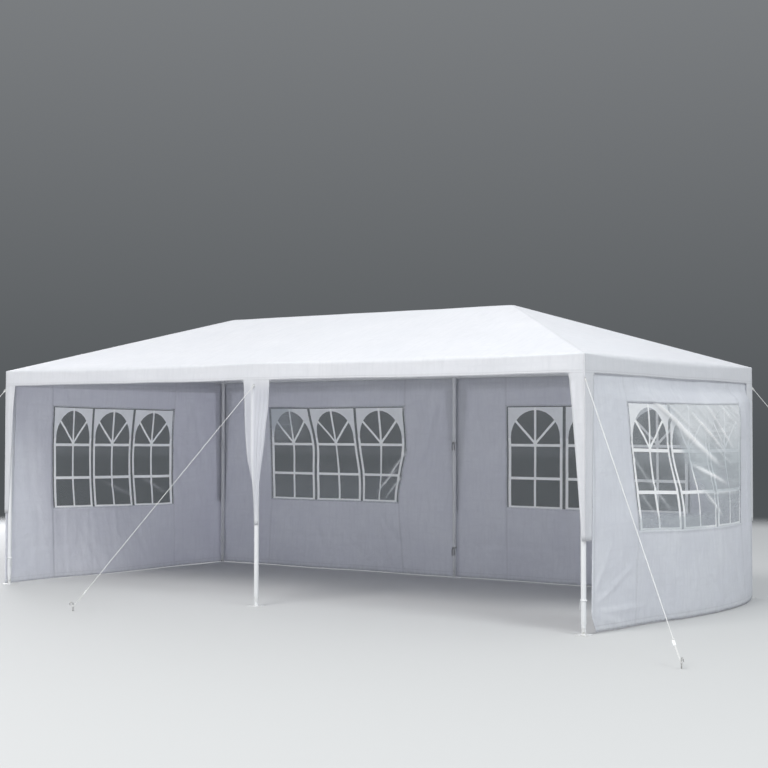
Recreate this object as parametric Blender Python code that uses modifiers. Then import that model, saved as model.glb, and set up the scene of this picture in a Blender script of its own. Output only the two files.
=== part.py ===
"""Marquee tent, 6 m by 3 m: a steel tube frame under a sewn hip roof, four hung walls with windows and six guys.

Metres, +Z up. X runs along the tent, the open side faces -Y, and the origin is on the ground under its middle.
"""

import math

import bmesh
import bpy
from mathutils import Matrix, Vector

# Cover, measured over its sewn edges
LENGTH = 6.0
DEPTH = 3.0
EAVE_HEIGHT = 1.957
RIDGE_RISE = 0.506
RIDGE_LENGTH = 3.05
FABRIC = 0.004

# Valance and the tapered flaps that hang from it over the legs
VALANCE_HEIGHT = 0.14
FLAP_LENGTH = 1.165
MIDDLE_FLAP_WIDTH = 0.274
CORNER_FLAP_WIDTH = 0.125
FLAP_TIP_WIDTH = 0.05

# Hung walls and their windows
WALL_TOP_DROP = 0.027
HEM_HEIGHT = 0.03
WALL_SLIT = 0.004
WINDOW_WIDTH = 1.86
WINDOW_HEIGHT = 0.95
WINDOW_HEAD_DROP = 0.312
FILM = 0.0015

# Tube frame
TUBE_DIAMETER = 0.038
SOCKET_WALL = 0.0017
SOCKET_DEPTH = 0.055
HUB_SWELL = 0.003
SEAT_MARGIN = 0.003

# Feet
STUB_DIAMETER = 0.032
STUB_HEIGHT = 0.08
FOOT_SIDE = 0.1
FOOT_THICKNESS = 0.004

# Guys and their stakes
ROPE_DIAMETER = 0.006
GUY_BELOW_VALANCE = 0.035
CORNER_STAKE_ALONG = 1.155
CORNER_STAKE_OUT = 0.963
MIDDLE_STAKE_ALONG = 0.933
MIDDLE_STAKE_OUT = 1.076
STAKE_DIAMETER = 0.008
STAKE_HEIGHT = 0.07
STAKE_TIE_HEIGHT = 0.04
HOOK_RADIUS = 0.012
HOOK_TIP = 0.012

# Clearance between pieces that touch, and the fineness of round pieces
GAP = 0.0003
TUBE_SIDES = 16
ROPE_SIDES = 8
HOOK_STEPS = 6
SMOOTH_ANGLE = math.radians(40)

# Sizes that follow from the ones above
HALF_LENGTH = LENGTH / 2
HALF_DEPTH = DEPTH / 2
HALF_RIDGE = RIDGE_LENGTH / 2
SIDE_PITCH = RIDGE_RISE / HALF_DEPTH
END_PITCH = RIDGE_RISE / (HALF_LENGTH - HALF_RIDGE)
STEEPEST = math.atan(max(SIDE_PITCH, END_PITCH))
COVER_THICKNESS = FABRIC / math.cos(STEEPEST)
TUBE_RADIUS = TUBE_DIAMETER / 2
BORE_RADIUS = TUBE_RADIUS + GAP
SOCKET_RADIUS = BORE_RADIUS + SOCKET_WALL
HUB_RADIUS = SOCKET_RADIUS + HUB_SWELL
FRAME_DROP = COVER_THICKNESS + (HUB_RADIUS + GAP) / math.cos(STEEPEST)
WALL_INSET = FABRIC + GAP
FRAME_INSET = 2 * WALL_INSET + HUB_RADIUS
FRAME_X = HALF_LENGTH - FRAME_INSET
FRAME_Y = HALF_DEPTH - FRAME_INSET
VALANCE_TOP = EAVE_HEIGHT - COVER_THICKNESS - GAP
VALANCE_BOTTOM = EAVE_HEIGHT - VALANCE_HEIGHT
FLAP_BOTTOM = VALANCE_BOTTOM - FLAP_LENGTH
WALL_TOP = EAVE_HEIGHT - WALL_TOP_DROP
WINDOW_HEAD = EAVE_HEIGHT - WINDOW_HEAD_DROP
WINDOW_SILL = WINDOW_HEAD - WINDOW_HEIGHT
GUY_HEIGHT = VALANCE_BOTTOM - GUY_BELOW_VALANCE

UP = Vector((0, 0, 1))
SIDES = {"front": -1, "back": 1}
ENDS = {"left": -1, "right": 1}


def clear_scene():
    for old in list(bpy.data.objects):
        bpy.data.objects.remove(old, do_unlink=True)


def make_collection(name):
    made = bpy.data.collections.new(name)
    bpy.context.scene.collection.children.link(made)
    return made


def make_material(name, colour, roughness, metallic=0.0, alpha=1.0):
    material = bpy.data.materials.new(name)
    material.use_nodes = True
    shader = material.node_tree.nodes["Principled BSDF"]
    shader.inputs["Base Color"].default_value = (*colour, 1.0)
    shader.inputs["Roughness"].default_value = roughness
    shader.inputs["Metallic"].default_value = metallic
    shader.inputs["Alpha"].default_value = alpha
    return material


clear_scene()
PARTS = make_collection("marquee_tent")
CUTTERS = make_collection("cutters")
ROOT = bpy.data.objects.new("marquee_tent_root", None)
PARTS.objects.link(ROOT)


def place_part(name, data, colour, location=(0, 0, 0), rotation=(0, 0, 0)):
    """Puts a mesh or curve in the tent's collection as one named part, in its own material."""
    part = bpy.data.objects.new(name, data)
    part.location = location
    part.rotation_euler = rotation
    part.parent = ROOT
    data.materials.append(make_material(name, *colour))
    PARTS.objects.link(part)
    return part


def place_cutter(name, data, location):
    """Puts a mesh in the cutters' collection, where it only shapes a part."""
    cutter = bpy.data.objects.new(name, data)
    cutter.location = location
    cutter.hide_render = True
    cutter.display_type = "WIRE"
    CUTTERS.objects.link(cutter)
    return cutter


def mesh_from(bm, name):
    """Turns a bmesh into a mesh that shades smooth across its small angles."""
    mesh = bpy.data.meshes.new(name)
    bm.to_mesh(mesh)
    bm.free()
    mesh.shade_smooth()
    mesh.set_sharp_from_angle(angle=SMOOTH_ANGLE)
    return mesh


def add_rod(bm, start, end, radius, sides=TUBE_SIDES):
    """Adds a capped cylinder from one point to another."""
    axis = end - start
    turn = axis.to_track_quat("Z", "Y").to_matrix().to_4x4()
    bmesh.ops.create_cone(
        bm,
        cap_ends=True,
        segments=sides,
        radius1=radius,
        radius2=radius,
        depth=axis.length,
        matrix=Matrix.Translation((start + end) / 2) @ turn,
    )


def add_boolean(part, cutter, operation):
    modifier = part.modifiers.new(cutter.name, "BOOLEAN")
    modifier.operation = operation
    modifier.object = cutter
    modifier.use_self = True


def outline_curve(name, outlines, thickness):
    """Makes a flat sheet from closed outlines in the XY plane; a second outline is a hole in the first."""
    curve = bpy.data.curves.new(name, "CURVE")
    curve.dimensions = "2D"
    curve.fill_mode = "BOTH"
    curve.extrude = thickness / 2
    for outline in outlines:
        spline = curve.splines.new("POLY")
        spline.points.add(len(outline) - 1)
        for point, (x, y) in zip(spline.points, outline):
            point.co = (x, y, 0, 1)
        spline.use_cyclic_u = True
    return curve


def rectangle(left, bottom, right, top):
    return [(left, bottom), (right, bottom), (right, top), (left, top)]


# Colour, roughness, metallic and alpha of each kind of piece
WHITE_TUBE = ((0.8, 0.81, 0.82), 0.35, 0.0)
WHITE_SOCKET = ((0.74, 0.75, 0.77), 0.4, 0.0)
COVER_WHITE = ((0.86, 0.87, 0.88), 0.6, 0.0)
WALL_WHITE = ((0.74, 0.76, 0.79), 0.6, 0.0)
CLEAR_FILM = ((0.82, 0.86, 0.88), 0.15, 0.0, 0.35)
ROPE_WHITE = ((0.8, 0.8, 0.78), 0.85, 0.0)
STAKE_STEEL = ((0.5, 0.5, 0.52), 0.35, 1.0)


def cover_height(x, y):
    """Height of the cover's upper face over a point of the plan."""
    side_rise = (HALF_DEPTH - abs(y)) * SIDE_PITCH
    end_rise = (HALF_LENGTH - abs(x)) * END_PITCH
    return EAVE_HEIGHT + min(side_rise, end_rise)


def frame_point(x, y):
    """Centre of the hub that carries the cover over a point of the plan."""
    return Vector((x, y, cover_height(x, y) - FRAME_DROP))


# Where the tubes' axes meet
HUBS = {
    "ridge_left": frame_point(-HALF_RIDGE, 0),
    "ridge_middle": frame_point(0, 0),
    "ridge_right": frame_point(HALF_RIDGE, 0),
}
for side, y_sign in SIDES.items():
    HUBS[f"{side}_middle"] = frame_point(0, y_sign * FRAME_Y)
    for end, x_sign in ENDS.items():
        HUBS[f"{side}_{end}"] = frame_point(x_sign * FRAME_X, y_sign * FRAME_Y)

# Each tube between two hubs
TUBES = {}
for end in ENDS:
    TUBES[f"ridge_pole_{end}"] = ("ridge_middle", f"ridge_{end}")
    TUBES[f"end_rail_{end}"] = (f"front_{end}", f"back_{end}")
    for side in SIDES:
        TUBES[f"eave_rail_{side}_{end}"] = (f"{side}_middle", f"{side}_{end}")
        TUBES[f"hip_rafter_{side}_{end}"] = (f"{side}_{end}", f"ridge_{end}")
for side in SIDES:
    TUBES[f"middle_rafter_{side}"] = (f"{side}_middle", "ridge_middle")

LEGGED_HUBS = [name for name in HUBS if not name.startswith("ridge")]


def smallest_hub_angle():
    """Least angle between two tubes of a corner hub, which sets how far out their ends must stay."""
    corner = HUBS["front_right"]
    hip = HUBS["ridge_right"] - corner
    along = HUBS["front_middle"] - corner
    across = HUBS["back_right"] - corner
    return min(hip.angle(along), hip.angle(across))


SEAT = SOCKET_RADIUS / math.tan(smallest_hub_angle() / 2) + SEAT_MARGIN
SOCKET_REACH = SEAT + SOCKET_DEPTH


def build_tube(name, start_hub, end_hub):
    """Steel tube whose ends stand in the sockets of its two hubs."""
    start = HUBS[start_hub]
    end = HUBS[end_hub]
    inset = (end - start).normalized() * (SEAT + GAP)
    middle = (start + end) / 2
    bm = bmesh.new()
    add_rod(bm, start + inset - middle, end - inset - middle, TUBE_RADIUS)
    place_part(name, mesh_from(bm, name), WHITE_TUBE, middle)


def build_leg(hub):
    """Leg tube on the narrower stub of its square foot plate."""
    point = HUBS[hub]
    name = f"leg_{hub}"
    top = point.z - SEAT - GAP
    profile = [
        (0, top),
        (TUBE_RADIUS, top),
        (TUBE_RADIUS, STUB_HEIGHT),
        (STUB_DIAMETER / 2, STUB_HEIGHT),
        (STUB_DIAMETER / 2, FOOT_THICKNESS / 2),
        (0, FOOT_THICKNESS / 2),
    ]
    bm = bmesh.new()
    corners = [bm.verts.new((radius, 0, height)) for radius, height in profile]
    for upper, lower in zip(corners, corners[1:]):
        bm.edges.new((upper, lower))
    leg = place_part(name, mesh_from(bm, name), WHITE_TUBE, (point.x, point.y, 0))
    turning = leg.modifiers.new("turned", "SCREW")
    turning.steps = TUBE_SIDES
    turning.render_steps = TUBE_SIDES
    turning.use_merge_vertices = True
    turning.merge_threshold = 0.0001
    plate = bmesh.new()
    size = Matrix.Diagonal((FOOT_SIDE, FOOT_SIDE, FOOT_THICKNESS, 1))
    bmesh.ops.create_cube(plate, size=1, matrix=Matrix.Translation((0, 0, FOOT_THICKNESS / 2)) @ size)
    foot = place_cutter(f"{name}_foot", mesh_from(plate, f"{name}_foot"), leg.location)
    foot.parent = ROOT
    add_boolean(leg, foot, "UNION")


def build_connector(hub):
    """Welded hub with an open socket for each tube that meets there."""
    centre = HUBS[hub]
    name = f"connector_{hub}"
    body = bmesh.new()
    bores = bmesh.new()
    bmesh.ops.create_uvsphere(body, u_segments=TUBE_SIDES, v_segments=TUBE_SIDES // 2, radius=HUB_RADIUS)
    spokes = [(HUBS[end] - centre, 1) for start, end in TUBES.values() if start == hub]
    spokes += [(HUBS[start] - centre, -1) for start, end in TUBES.values() if end == hub]
    if hub in LEGGED_HUBS:
        spokes.append((-UP, -1))
    for direction, order in spokes:
        outward = direction.normalized()
        socket = [Vector((0, 0, 0)), outward * SOCKET_REACH]
        bore = [outward * SEAT, outward * (SOCKET_REACH + SOCKET_DEPTH)]
        add_rod(body, *socket[::order], SOCKET_RADIUS)
        add_rod(bores, *bore[::order], BORE_RADIUS)
    part = place_part(name, mesh_from(body, name), WHITE_SOCKET, centre)
    cutter = place_cutter(f"{name}_bores", mesh_from(bores, f"{name}_bores"), centre)
    add_boolean(part, cutter, "DIFFERENCE")


def build_roof_panel(name, outline, pitch, slope_direction):
    """Sewn panel of the roof: its plan outline made a slab, then tilted so that it rises away from its eave."""
    curve = outline_curve(name, [outline], COVER_THICKNESS)
    flat = bpy.data.objects.new(name, curve)
    PARTS.objects.link(flat)
    settled = flat.evaluated_get(bpy.context.evaluated_depsgraph_get())
    mesh = bpy.data.meshes.new_from_object(settled)
    bpy.data.objects.remove(flat)
    bm = bmesh.new()
    bm.from_mesh(mesh)
    bmesh.ops.remove_doubles(bm, verts=bm.verts, dist=GAP / 10)
    tilt = Matrix.Identity(4)
    tilt[2][0] = -slope_direction.x * pitch
    tilt[2][1] = -slope_direction.y * pitch
    bmesh.ops.transform(bm, matrix=tilt, verts=bm.verts)
    bm.to_mesh(mesh)
    bm.free()
    eave_distance = HALF_LENGTH if slope_direction.x else HALF_DEPTH
    lift = EAVE_HEIGHT + eave_distance * pitch - COVER_THICKNESS / 2
    apart = slope_direction * (GAP / math.sqrt(2))
    place_part(name, mesh, COVER_WHITE, (apart.x, apart.y, lift))


def build_roof():
    for side, sign in SIDES.items():
        outline = [
            (-HALF_LENGTH, sign * HALF_DEPTH),
            (HALF_LENGTH, sign * HALF_DEPTH),
            (HALF_RIDGE, 0),
            (-HALF_RIDGE, 0),
        ]
        build_roof_panel(f"roof_panel_{side}", outline, SIDE_PITCH, Vector((0, sign, 0)))
    for end, sign in ENDS.items():
        outline = [
            (sign * HALF_LENGTH, -HALF_DEPTH),
            (sign * HALF_LENGTH, HALF_DEPTH),
            (sign * HALF_RIDGE, 0),
        ]
        build_roof_panel(f"roof_panel_{end}", outline, END_PITCH, Vector((sign, 0, 0)))


def flap_outline(half_width, has_middle_flap):
    """Outline of a valance with its leg flaps, from its middle; X along the eave and Y up."""
    corner = half_width - CORNER_FLAP_WIDTH
    tip = half_width - FLAP_TIP_WIDTH
    right = [(corner, VALANCE_BOTTOM), (tip, FLAP_BOTTOM), (half_width, FLAP_BOTTOM), (half_width, VALANCE_TOP)]
    if has_middle_flap:
        right = [(FLAP_TIP_WIDTH / 2, FLAP_BOTTOM), (MIDDLE_FLAP_WIDTH / 2, VALANCE_BOTTOM)] + right
    left = [(-x, z) for x, z in reversed(right)]
    return left + right


def build_valances():
    """Strips that hang from the eave all round, the long ones between the corners of the short ones."""
    upright = math.radians(90)
    for side, sign in SIDES.items():
        name = f"valance_{side}"
        curve = outline_curve(name, [flap_outline(HALF_LENGTH, True)], FABRIC)
        place_part(name, curve, COVER_WHITE, (0, sign * (HALF_DEPTH - FABRIC / 2), 0), (upright, 0, 0))
    for end, sign in ENDS.items():
        name = f"valance_{end}"
        curve = outline_curve(name, [flap_outline(HALF_DEPTH - WALL_INSET, False)], FABRIC)
        place_part(name, curve, COVER_WHITE, (sign * (HALF_LENGTH - FABRIC / 2), 0, 0), (upright, 0, upright))


def build_wall(name, left, right, location, rotation):
    """Hung wall with a window opening, and the clear film that closes it; X along the wall and Y up."""
    middle = (left + right) / 2
    window = (middle - WINDOW_WIDTH / 2, WINDOW_SILL, middle + WINDOW_WIDTH / 2, WINDOW_HEAD)
    film_inset = (GAP, GAP, -GAP, -GAP)
    film = [edge + inset for edge, inset in zip(window, film_inset)]
    outlines = [rectangle(left, HEM_HEIGHT, right, WALL_TOP), rectangle(*window)]
    place_part(f"wall_{name}", outline_curve(f"wall_{name}", outlines, FABRIC), WALL_WHITE, location, rotation)
    sheet = outline_curve(f"window_film_{name}", [rectangle(*film)], FILM)
    place_part(f"window_film_{name}", sheet, CLEAR_FILM, location, rotation)


def build_walls():
    """Two end walls and the two halves of the back wall, between the valance and the legs."""
    upright = math.radians(90)
    back_y = HALF_DEPTH - WALL_INSET - FABRIC / 2
    end_x = HALF_LENGTH - WALL_INSET - FABRIC / 2
    back_reach = HALF_LENGTH - WALL_INSET
    front_reach = HALF_DEPTH - WALL_INSET
    for end, sign in ENDS.items():
        edges = sorted([sign * WALL_SLIT / 2, sign * back_reach])
        build_wall(f"back_{end}", *edges, (0, back_y, 0), (upright, 0, 0))
        build_wall(f"end_{end}", -front_reach, front_reach - WALL_INSET, (sign * end_x, 0, 0), (upright, 0, upright))


def build_stake(name, foot, outward):
    """Peg of bent round bar, standing out of the ground with its hook turned away from the tent."""
    path = [Vector((0, 0, 0)), UP * (STAKE_HEIGHT - HOOK_RADIUS)]
    hook_centre = outward * HOOK_RADIUS + path[-1]
    for step in range(1, HOOK_STEPS + 1):
        angle = math.pi * step / HOOK_STEPS
        path.append(hook_centre - outward * HOOK_RADIUS * math.cos(angle) + UP * HOOK_RADIUS * math.sin(angle))
    path.append(path[-1] - UP * HOOK_TIP)
    curve = bpy.data.curves.new(name, "CURVE")
    curve.dimensions = "3D"
    curve.bevel_depth = STAKE_DIAMETER / 2
    curve.bevel_resolution = 2
    curve.use_fill_caps = True
    spline = curve.splines.new("POLY")
    spline.points.add(len(path) - 1)
    for point, place in zip(spline.points, path):
        point.co = (*place, 1)
    spline.use_smooth = True
    place_part(name, curve, STAKE_STEEL, foot)


def build_guy(hub, along, out):
    """Taut rope from the cover's edge under the valance to a stake in the ground."""
    corner_x = HALF_LENGTH * round(HUBS[hub].x / FRAME_X)
    corner_y = HALF_DEPTH * round(HUBS[hub].y / FRAME_Y)
    anchor = Vector((corner_x, corner_y, GUY_HEIGHT))
    foot = Vector((corner_x + along, corner_y + math.copysign(out, corner_y), 0))
    outward = Vector((foot.x - anchor.x, foot.y - anchor.y, 0)).normalized()
    build_stake(f"stake_{hub}", foot, outward)
    run = (foot + UP * STAKE_TIE_HEIGHT - anchor).normalized()
    leaves = outward if corner_x else Vector((0, math.copysign(1, corner_y), 0))
    top_reach = GAP + ROPE_DIAMETER / 2 * math.sqrt(1 - run.dot(leaves) ** 2)
    low_reach = STAKE_DIAMETER / 2 + GAP + ROPE_DIAMETER / 2 * math.sqrt(1 - run.dot(outward) ** 2)
    top = anchor + leaves * top_reach
    low = foot + UP * STAKE_TIE_HEIGHT - outward * low_reach
    bm = bmesh.new()
    add_rod(bm, top - anchor, low - anchor, ROPE_DIAMETER / 2, ROPE_SIDES)
    name = f"guy_rope_{hub}"
    place_part(name, mesh_from(bm, name), ROPE_WHITE, anchor)


def build_tent():
    for hub in LEGGED_HUBS:
        build_leg(hub)
    for hub in HUBS:
        build_connector(hub)
    for name, (start_hub, end_hub) in TUBES.items():
        build_tube(name, start_hub, end_hub)
    build_roof()
    build_valances()
    build_walls()
    for side in SIDES:
        build_guy(f"{side}_middle", -MIDDLE_STAKE_ALONG, MIDDLE_STAKE_OUT)
        for end, sign in ENDS.items():
            build_guy(f"{side}_{end}", sign * CORNER_STAKE_ALONG, CORNER_STAKE_OUT)


build_tent()
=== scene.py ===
"""Looks of a marquee tent, 6 m by 3 m: woven cover on a tube frame, hung walls, printed windows and guys.

Metres, +Z up. X runs along the tent, and its open side faces -Y.
"""

import math
from functools import lru_cache

import bmesh
import bpy
from bmesh.types import BMEdge, BMFace, BMVert
from mathutils import Matrix, Vector, noise
from mathutils.geometry import intersect_line_line


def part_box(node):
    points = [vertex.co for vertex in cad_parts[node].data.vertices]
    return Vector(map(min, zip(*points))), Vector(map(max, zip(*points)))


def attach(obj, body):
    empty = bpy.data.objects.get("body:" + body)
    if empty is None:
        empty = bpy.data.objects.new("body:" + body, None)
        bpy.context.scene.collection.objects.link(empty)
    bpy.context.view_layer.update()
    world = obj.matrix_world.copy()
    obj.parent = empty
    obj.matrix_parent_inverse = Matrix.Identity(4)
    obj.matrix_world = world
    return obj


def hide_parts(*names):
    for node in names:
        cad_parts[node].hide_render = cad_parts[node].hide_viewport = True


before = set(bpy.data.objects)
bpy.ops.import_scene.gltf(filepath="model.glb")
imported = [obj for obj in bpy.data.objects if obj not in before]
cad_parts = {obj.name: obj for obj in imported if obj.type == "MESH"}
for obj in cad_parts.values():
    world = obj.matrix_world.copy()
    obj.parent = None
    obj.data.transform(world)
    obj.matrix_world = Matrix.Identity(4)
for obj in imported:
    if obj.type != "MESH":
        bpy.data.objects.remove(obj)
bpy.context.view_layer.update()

# Camera
# At eye height off the front right corner, where the photograph was taken, with a short telephoto lens.

LENS_MM, SENSOR_MM = 71.63, 36.0
EYE = (8.030, -10.926, 1.416)
TURNED_LEFT, TILTED_UP, LEANING = 0.6210, 0.0304, 0.0015
FARTHEST_SEEN = 300.0

lens = bpy.data.cameras.new("camera")
lens.sensor_width = SENSOR_MM
lens.lens = LENS_MM
lens.clip_end = FARTHEST_SEEN
camera = bpy.data.objects.new("camera", lens)
camera.matrix_world = (
    Matrix.Translation(EYE)
    @ Matrix.Rotation(TURNED_LEFT, 4, "Z")
    @ Matrix.Rotation(math.radians(90) + TILTED_UP, 4, "X")
    @ Matrix.Rotation(LEANING, 4, "Z")
)
bpy.context.scene.collection.objects.link(camera)
bpy.context.scene.camera = camera

# Studio
# A round pale floor that fades at its rim, an even overcast sky and three large soft lights. The sky that the
# camera sees is a darker grey than the one that lights, so that white cloth stands out.

FLOOR_RADIUS, FLOOR_FADE = 13.5, 3.5
FLOOR_COLOUR, FLOOR_ROUGHNESS = (0.50, 0.505, 0.505), 0.8
SKY_COLOUR, SKY_STRENGTH = (0.93, 0.96, 1.0, 1), 0.66
SEEN_BELOW, SEEN_ABOVE = (0.080, 0.088, 0.094, 1), (0.215, 0.225, 0.235, 1)
LIT_POINT = Vector((0, 0, 1))
# Place, width, power and colour of each light.
LIGHTS = {
    "high_light": ((1.0, -11.6, 13.6), 7.0, 1700.0, (1.0, 0.985, 0.965)),
    "right_light": ((11.5, -4.8, 12.2), 4.5, 880.0, (0.955, 0.995, 0.995)),
    "left_light": ((-12.0, 5.0, 3.8), 6.0, 470.0, (0.96, 0.96, 1.0)),
}


def feed(tree, node, inputs):
    """Gives each named input of a node its value, or links the socket that feeds it."""
    for key, value in inputs.items():
        socket = node.inputs[int(key[1:])] if key[1:].isdigit() else node.inputs[key.replace("_", " ")]
        if isinstance(value, bpy.types.NodeSocket):
            tree.links.new(value, socket)
        else:
            socket.default_value = value
    return node


def add_node(tree, kind, settings=(), **inputs):
    node = tree.nodes.new("ShaderNode" + kind)
    for key, value in dict(settings).items():
        setattr(node, key, value)
    return feed(tree, node, inputs)


def ranged(tree, value, low, high, to_low=0.0, to_high=1.0, smooth=False):
    """A number moved from one range to another and kept inside it."""
    settings = {"interpolation_type": "SMOOTHSTEP" if smooth else "LINEAR"}
    node = add_node(tree, "MapRange", settings, Value=value, From_Min=low, From_Max=high, To_Min=to_low,
                    To_Max=to_high)
    return node.outputs["Result"]


def new_material(name, colour, roughness):
    """A material, its tree, its shader and the place on the object that its pattern reads."""
    material = bpy.data.materials.new(name)
    material.use_nodes = True
    tree = material.node_tree
    shader = feed(tree, tree.nodes["Principled BSDF"], {"Base_Color": (*colour, 1), "Roughness": roughness})
    return material, tree, shader, add_node(tree, "TexCoord").outputs["Object"]


def link_new(name, data):
    made = bpy.data.objects.new(name, data)
    bpy.context.scene.collection.objects.link(made)
    return made


def mesh_of(name, bm):
    mesh = bpy.data.meshes.new(name)
    bm.to_mesh(mesh)
    bm.free()
    return mesh


bpy.context.scene.view_settings.view_transform = "Standard"
sky = bpy.data.worlds.new("overcast")
sky.use_nodes = True
bpy.context.scene.world = sky
tree = sky.node_tree
lit = feed(tree, tree.nodes["Background"], {"Color": SKY_COLOUR, "Strength": SKY_STRENGTH})
upward = add_node(tree, "SeparateXYZ", Vector=add_node(tree, "TexCoord").outputs["Generated"]).outputs["Z"]
ramp = add_node(tree, "ValToRGB", Fac=ranged(tree, upward, -0.02, 0.32))
ramp.color_ramp.elements[0].color = SEEN_BELOW
ramp.color_ramp.elements[1].color = SEEN_ABOVE
seen = add_node(tree, "Background", Color=ramp.outputs["Color"], Strength=1.0)
to_camera = add_node(tree, "LightPath").outputs["Is Camera Ray"]
either = add_node(tree, "MixShader", i0=to_camera, i1=lit.outputs[0], i2=seen.outputs[0])
feed(tree, tree.nodes["World Output"], {"Surface": either.outputs["Shader"]})

for name, (place, width, power, colour) in LIGHTS.items():
    lamp = bpy.data.lights.new(name, "AREA")
    lamp.shape = "DISK"
    lamp.size = width
    lamp.energy = power
    lamp.color = colour
    light = link_new(name, lamp)
    light.location = place
    light.rotation_mode = "QUATERNION"
    light.rotation_quaternion = (LIT_POINT - Vector(place)).to_track_quat("-Z", "Y")

floor_bm = bmesh.new()
bmesh.ops.create_circle(floor_bm, cap_ends=True, segments=128, radius=FLOOR_RADIUS)
floor = link_new("floor", mesh_of("floor", floor_bm))
floor_finish, tree, shader, place = new_material("pale_floor", FLOOR_COLOUR, FLOOR_ROUGHNESS)
reach = add_node(tree, "VectorMath", {"operation": "LENGTH"}, i0=place).outputs["Value"]
fade = ranged(tree, reach, FLOOR_RADIUS - FLOOR_FADE, FLOOR_RADIUS, 1.0, 0.0, smooth=True)
feed(tree, shader, {"Alpha": fade})
floor.data.materials.append(floor_finish)

# Tubes
# Round steel tube of 38 mm with a white powder coat. Each stands in the sockets of two connectors, where a
# sprung steel button clicks out. A leg narrows to a stub that is welded on a square foot plate.

TUBE_SIDES = 32
END_CHAMFER = 0.001
BUTTON_RADIUS, BUTTON_PROUD, BUTTON_FROM_END = 0.0042, 0.0042, 0.028
SHOULDER = 0.012
FOOT_CORNER = 0.012
PEG_HOLE_RADIUS, PEG_HOLE_OUT = 0.005, 0.037
WELD_RADIUS = 0.0028
NEAR = 1e-4
UP = Vector((0, 0, 1))
SPLASH, EARTH = (0.16, 0.15, 0.09), (0.12, 0.10, 0.06)


def new_group(name, inputs, output):
    """Empty shader node group with its sockets, what it is given, and the end that its result goes to."""
    group = bpy.data.node_groups.new(name, "ShaderNodeTree")
    for direction, names in (("INPUT", inputs), ("OUTPUT", output)):
        for socket in names:
            kind = "NodeSocketVector" if socket == "Vector" else "NodeSocketFloat"
            group.interface.new_socket(socket, in_out=direction, socket_type=kind)
    return group, group.nodes.new("NodeGroupInput").outputs, group.nodes.new("NodeGroupOutput")


def math_of(tree, operation, *values, clamp=False):
    """A number worked out from one, two or three others."""
    inputs = {f"i{index}": value for index, value in enumerate(values)}
    return add_node(tree, "Math", {"operation": operation, "use_clamp": clamp}, **inputs).outputs[0]


def use_group(tree, group, **inputs):
    """Puts a group in a material and gives back its outputs."""
    node = tree.nodes.new("ShaderNodeGroup")
    node.node_tree = group
    return feed(tree, node, inputs).outputs


# Slow cloudy change between two values.
MOTTLE, given, end = new_group("mottle", ("Vector", "Scale", "Low", "High"), ("Value",))
cloud = add_node(MOTTLE, "TexNoise", Vector=given["Vector"], Scale=given["Scale"], Detail=4.0, Roughness=0.6)
feed(MOTTLE, end, {"Value": ranged(MOTTLE, cloud.outputs["Fac"], 0.3, 0.7, given["Low"], given["High"])})

# Splashed earth: strongest at the ground, broken up by noise, gone above a height.
GROUND_DIRT, given, end = new_group("ground_dirt", ("Vector", "Height", "Amount"), ("Mask",))
height = add_node(GROUND_DIRT, "SeparateXYZ", Vector=given["Vector"]).outputs["Z"]
low_down = ranged(GROUND_DIRT, height, 0.0, given["Height"], 1.0, 0.0, smooth=True)
speck = add_node(GROUND_DIRT, "TexNoise", Vector=given["Vector"], Scale=38.0, Detail=6.0, Roughness=0.7)
broken = math_of(GROUND_DIRT, "MULTIPLY", low_down, ranged(GROUND_DIRT, speck.outputs["Fac"], 0.42, 0.68))
feed(GROUND_DIRT, end, {"Mask": math_of(GROUND_DIRT, "MULTIPLY", broken, given["Amount"])})


def clouds(tree, place, scale, low, high):
    """A number that drifts between two others over the surface."""
    return use_group(tree, MOTTLE, Vector=place, Scale=scale, Low=low, High=high)[0]


def dirt_on(tree, place, height, amount):
    return use_group(tree, GROUND_DIRT, Vector=place, Height=height, Amount=amount)[0]


def mixed(tree, amount, first, second):
    """Colour between two colours by a mask."""
    first, second = ((*colour, 1) if isinstance(colour, tuple) else colour for colour in (first, second))
    return add_node(tree, "Mix", {"data_type": "RGBA"}, i0=amount, i6=first, i7=second).outputs[2]


def shaded(colour, share):
    return tuple(share * part for part in colour)


def bumped(tree, height, strength, distance, invert=False, **below):
    """Normal of a fine relief, laid over the normal below it if there is one."""
    relief = {"Height": height, "Strength": strength, "Distance": distance, **below}
    return add_node(tree, "Bump", {"invert": invert}, **relief).outputs["Normal"]


def powder_coat(name, colour, roughness):
    """Satin powder coat: fine orange peel, faint rubs that dull it, and some splash near the ground."""
    material, tree, shader, place = new_material(name, colour, roughness)
    toned = mixed(tree, clouds(tree, place, 9.0, 0.0, 0.12), colour, shaded(colour, 0.72))
    peel = add_node(tree, "TexNoise", Vector=place, Scale=700.0, Detail=2.0).outputs["Fac"]
    feed(tree, shader, {
        "Base_Color": mixed(tree, dirt_on(tree, place, 0.12, 0.6), toned, SPLASH),
        "Roughness": clouds(tree, place, 14.0, roughness - 0.06, roughness + 0.16),
        "Normal": bumped(tree, peel, 0.12, 0.0006),
    })
    return material


def bright_steel(name, colour, roughness):
    """Plain zinc-plated steel with a faint grain."""
    material, tree, shader, place = new_material(name, colour, roughness)
    plated = mixed(tree, clouds(tree, place, 60.0, 0.0, 0.35), colour, shaded(colour, 0.6))
    feed(tree, shader, {
        "Metallic": 1.0,
        "Base_Color": mixed(tree, dirt_on(tree, place, 0.05, 0.8), plated, EARTH),
        "Roughness": clouds(tree, place, 90.0, roughness, roughness + 0.2),
    })
    return material


TUBE_COAT = powder_coat("tube_powder_coat", (0.79, 0.80, 0.815), 0.34)
BUTTON_STEEL = bright_steel("button_steel", (0.62, 0.62, 0.61), 0.28)


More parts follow.
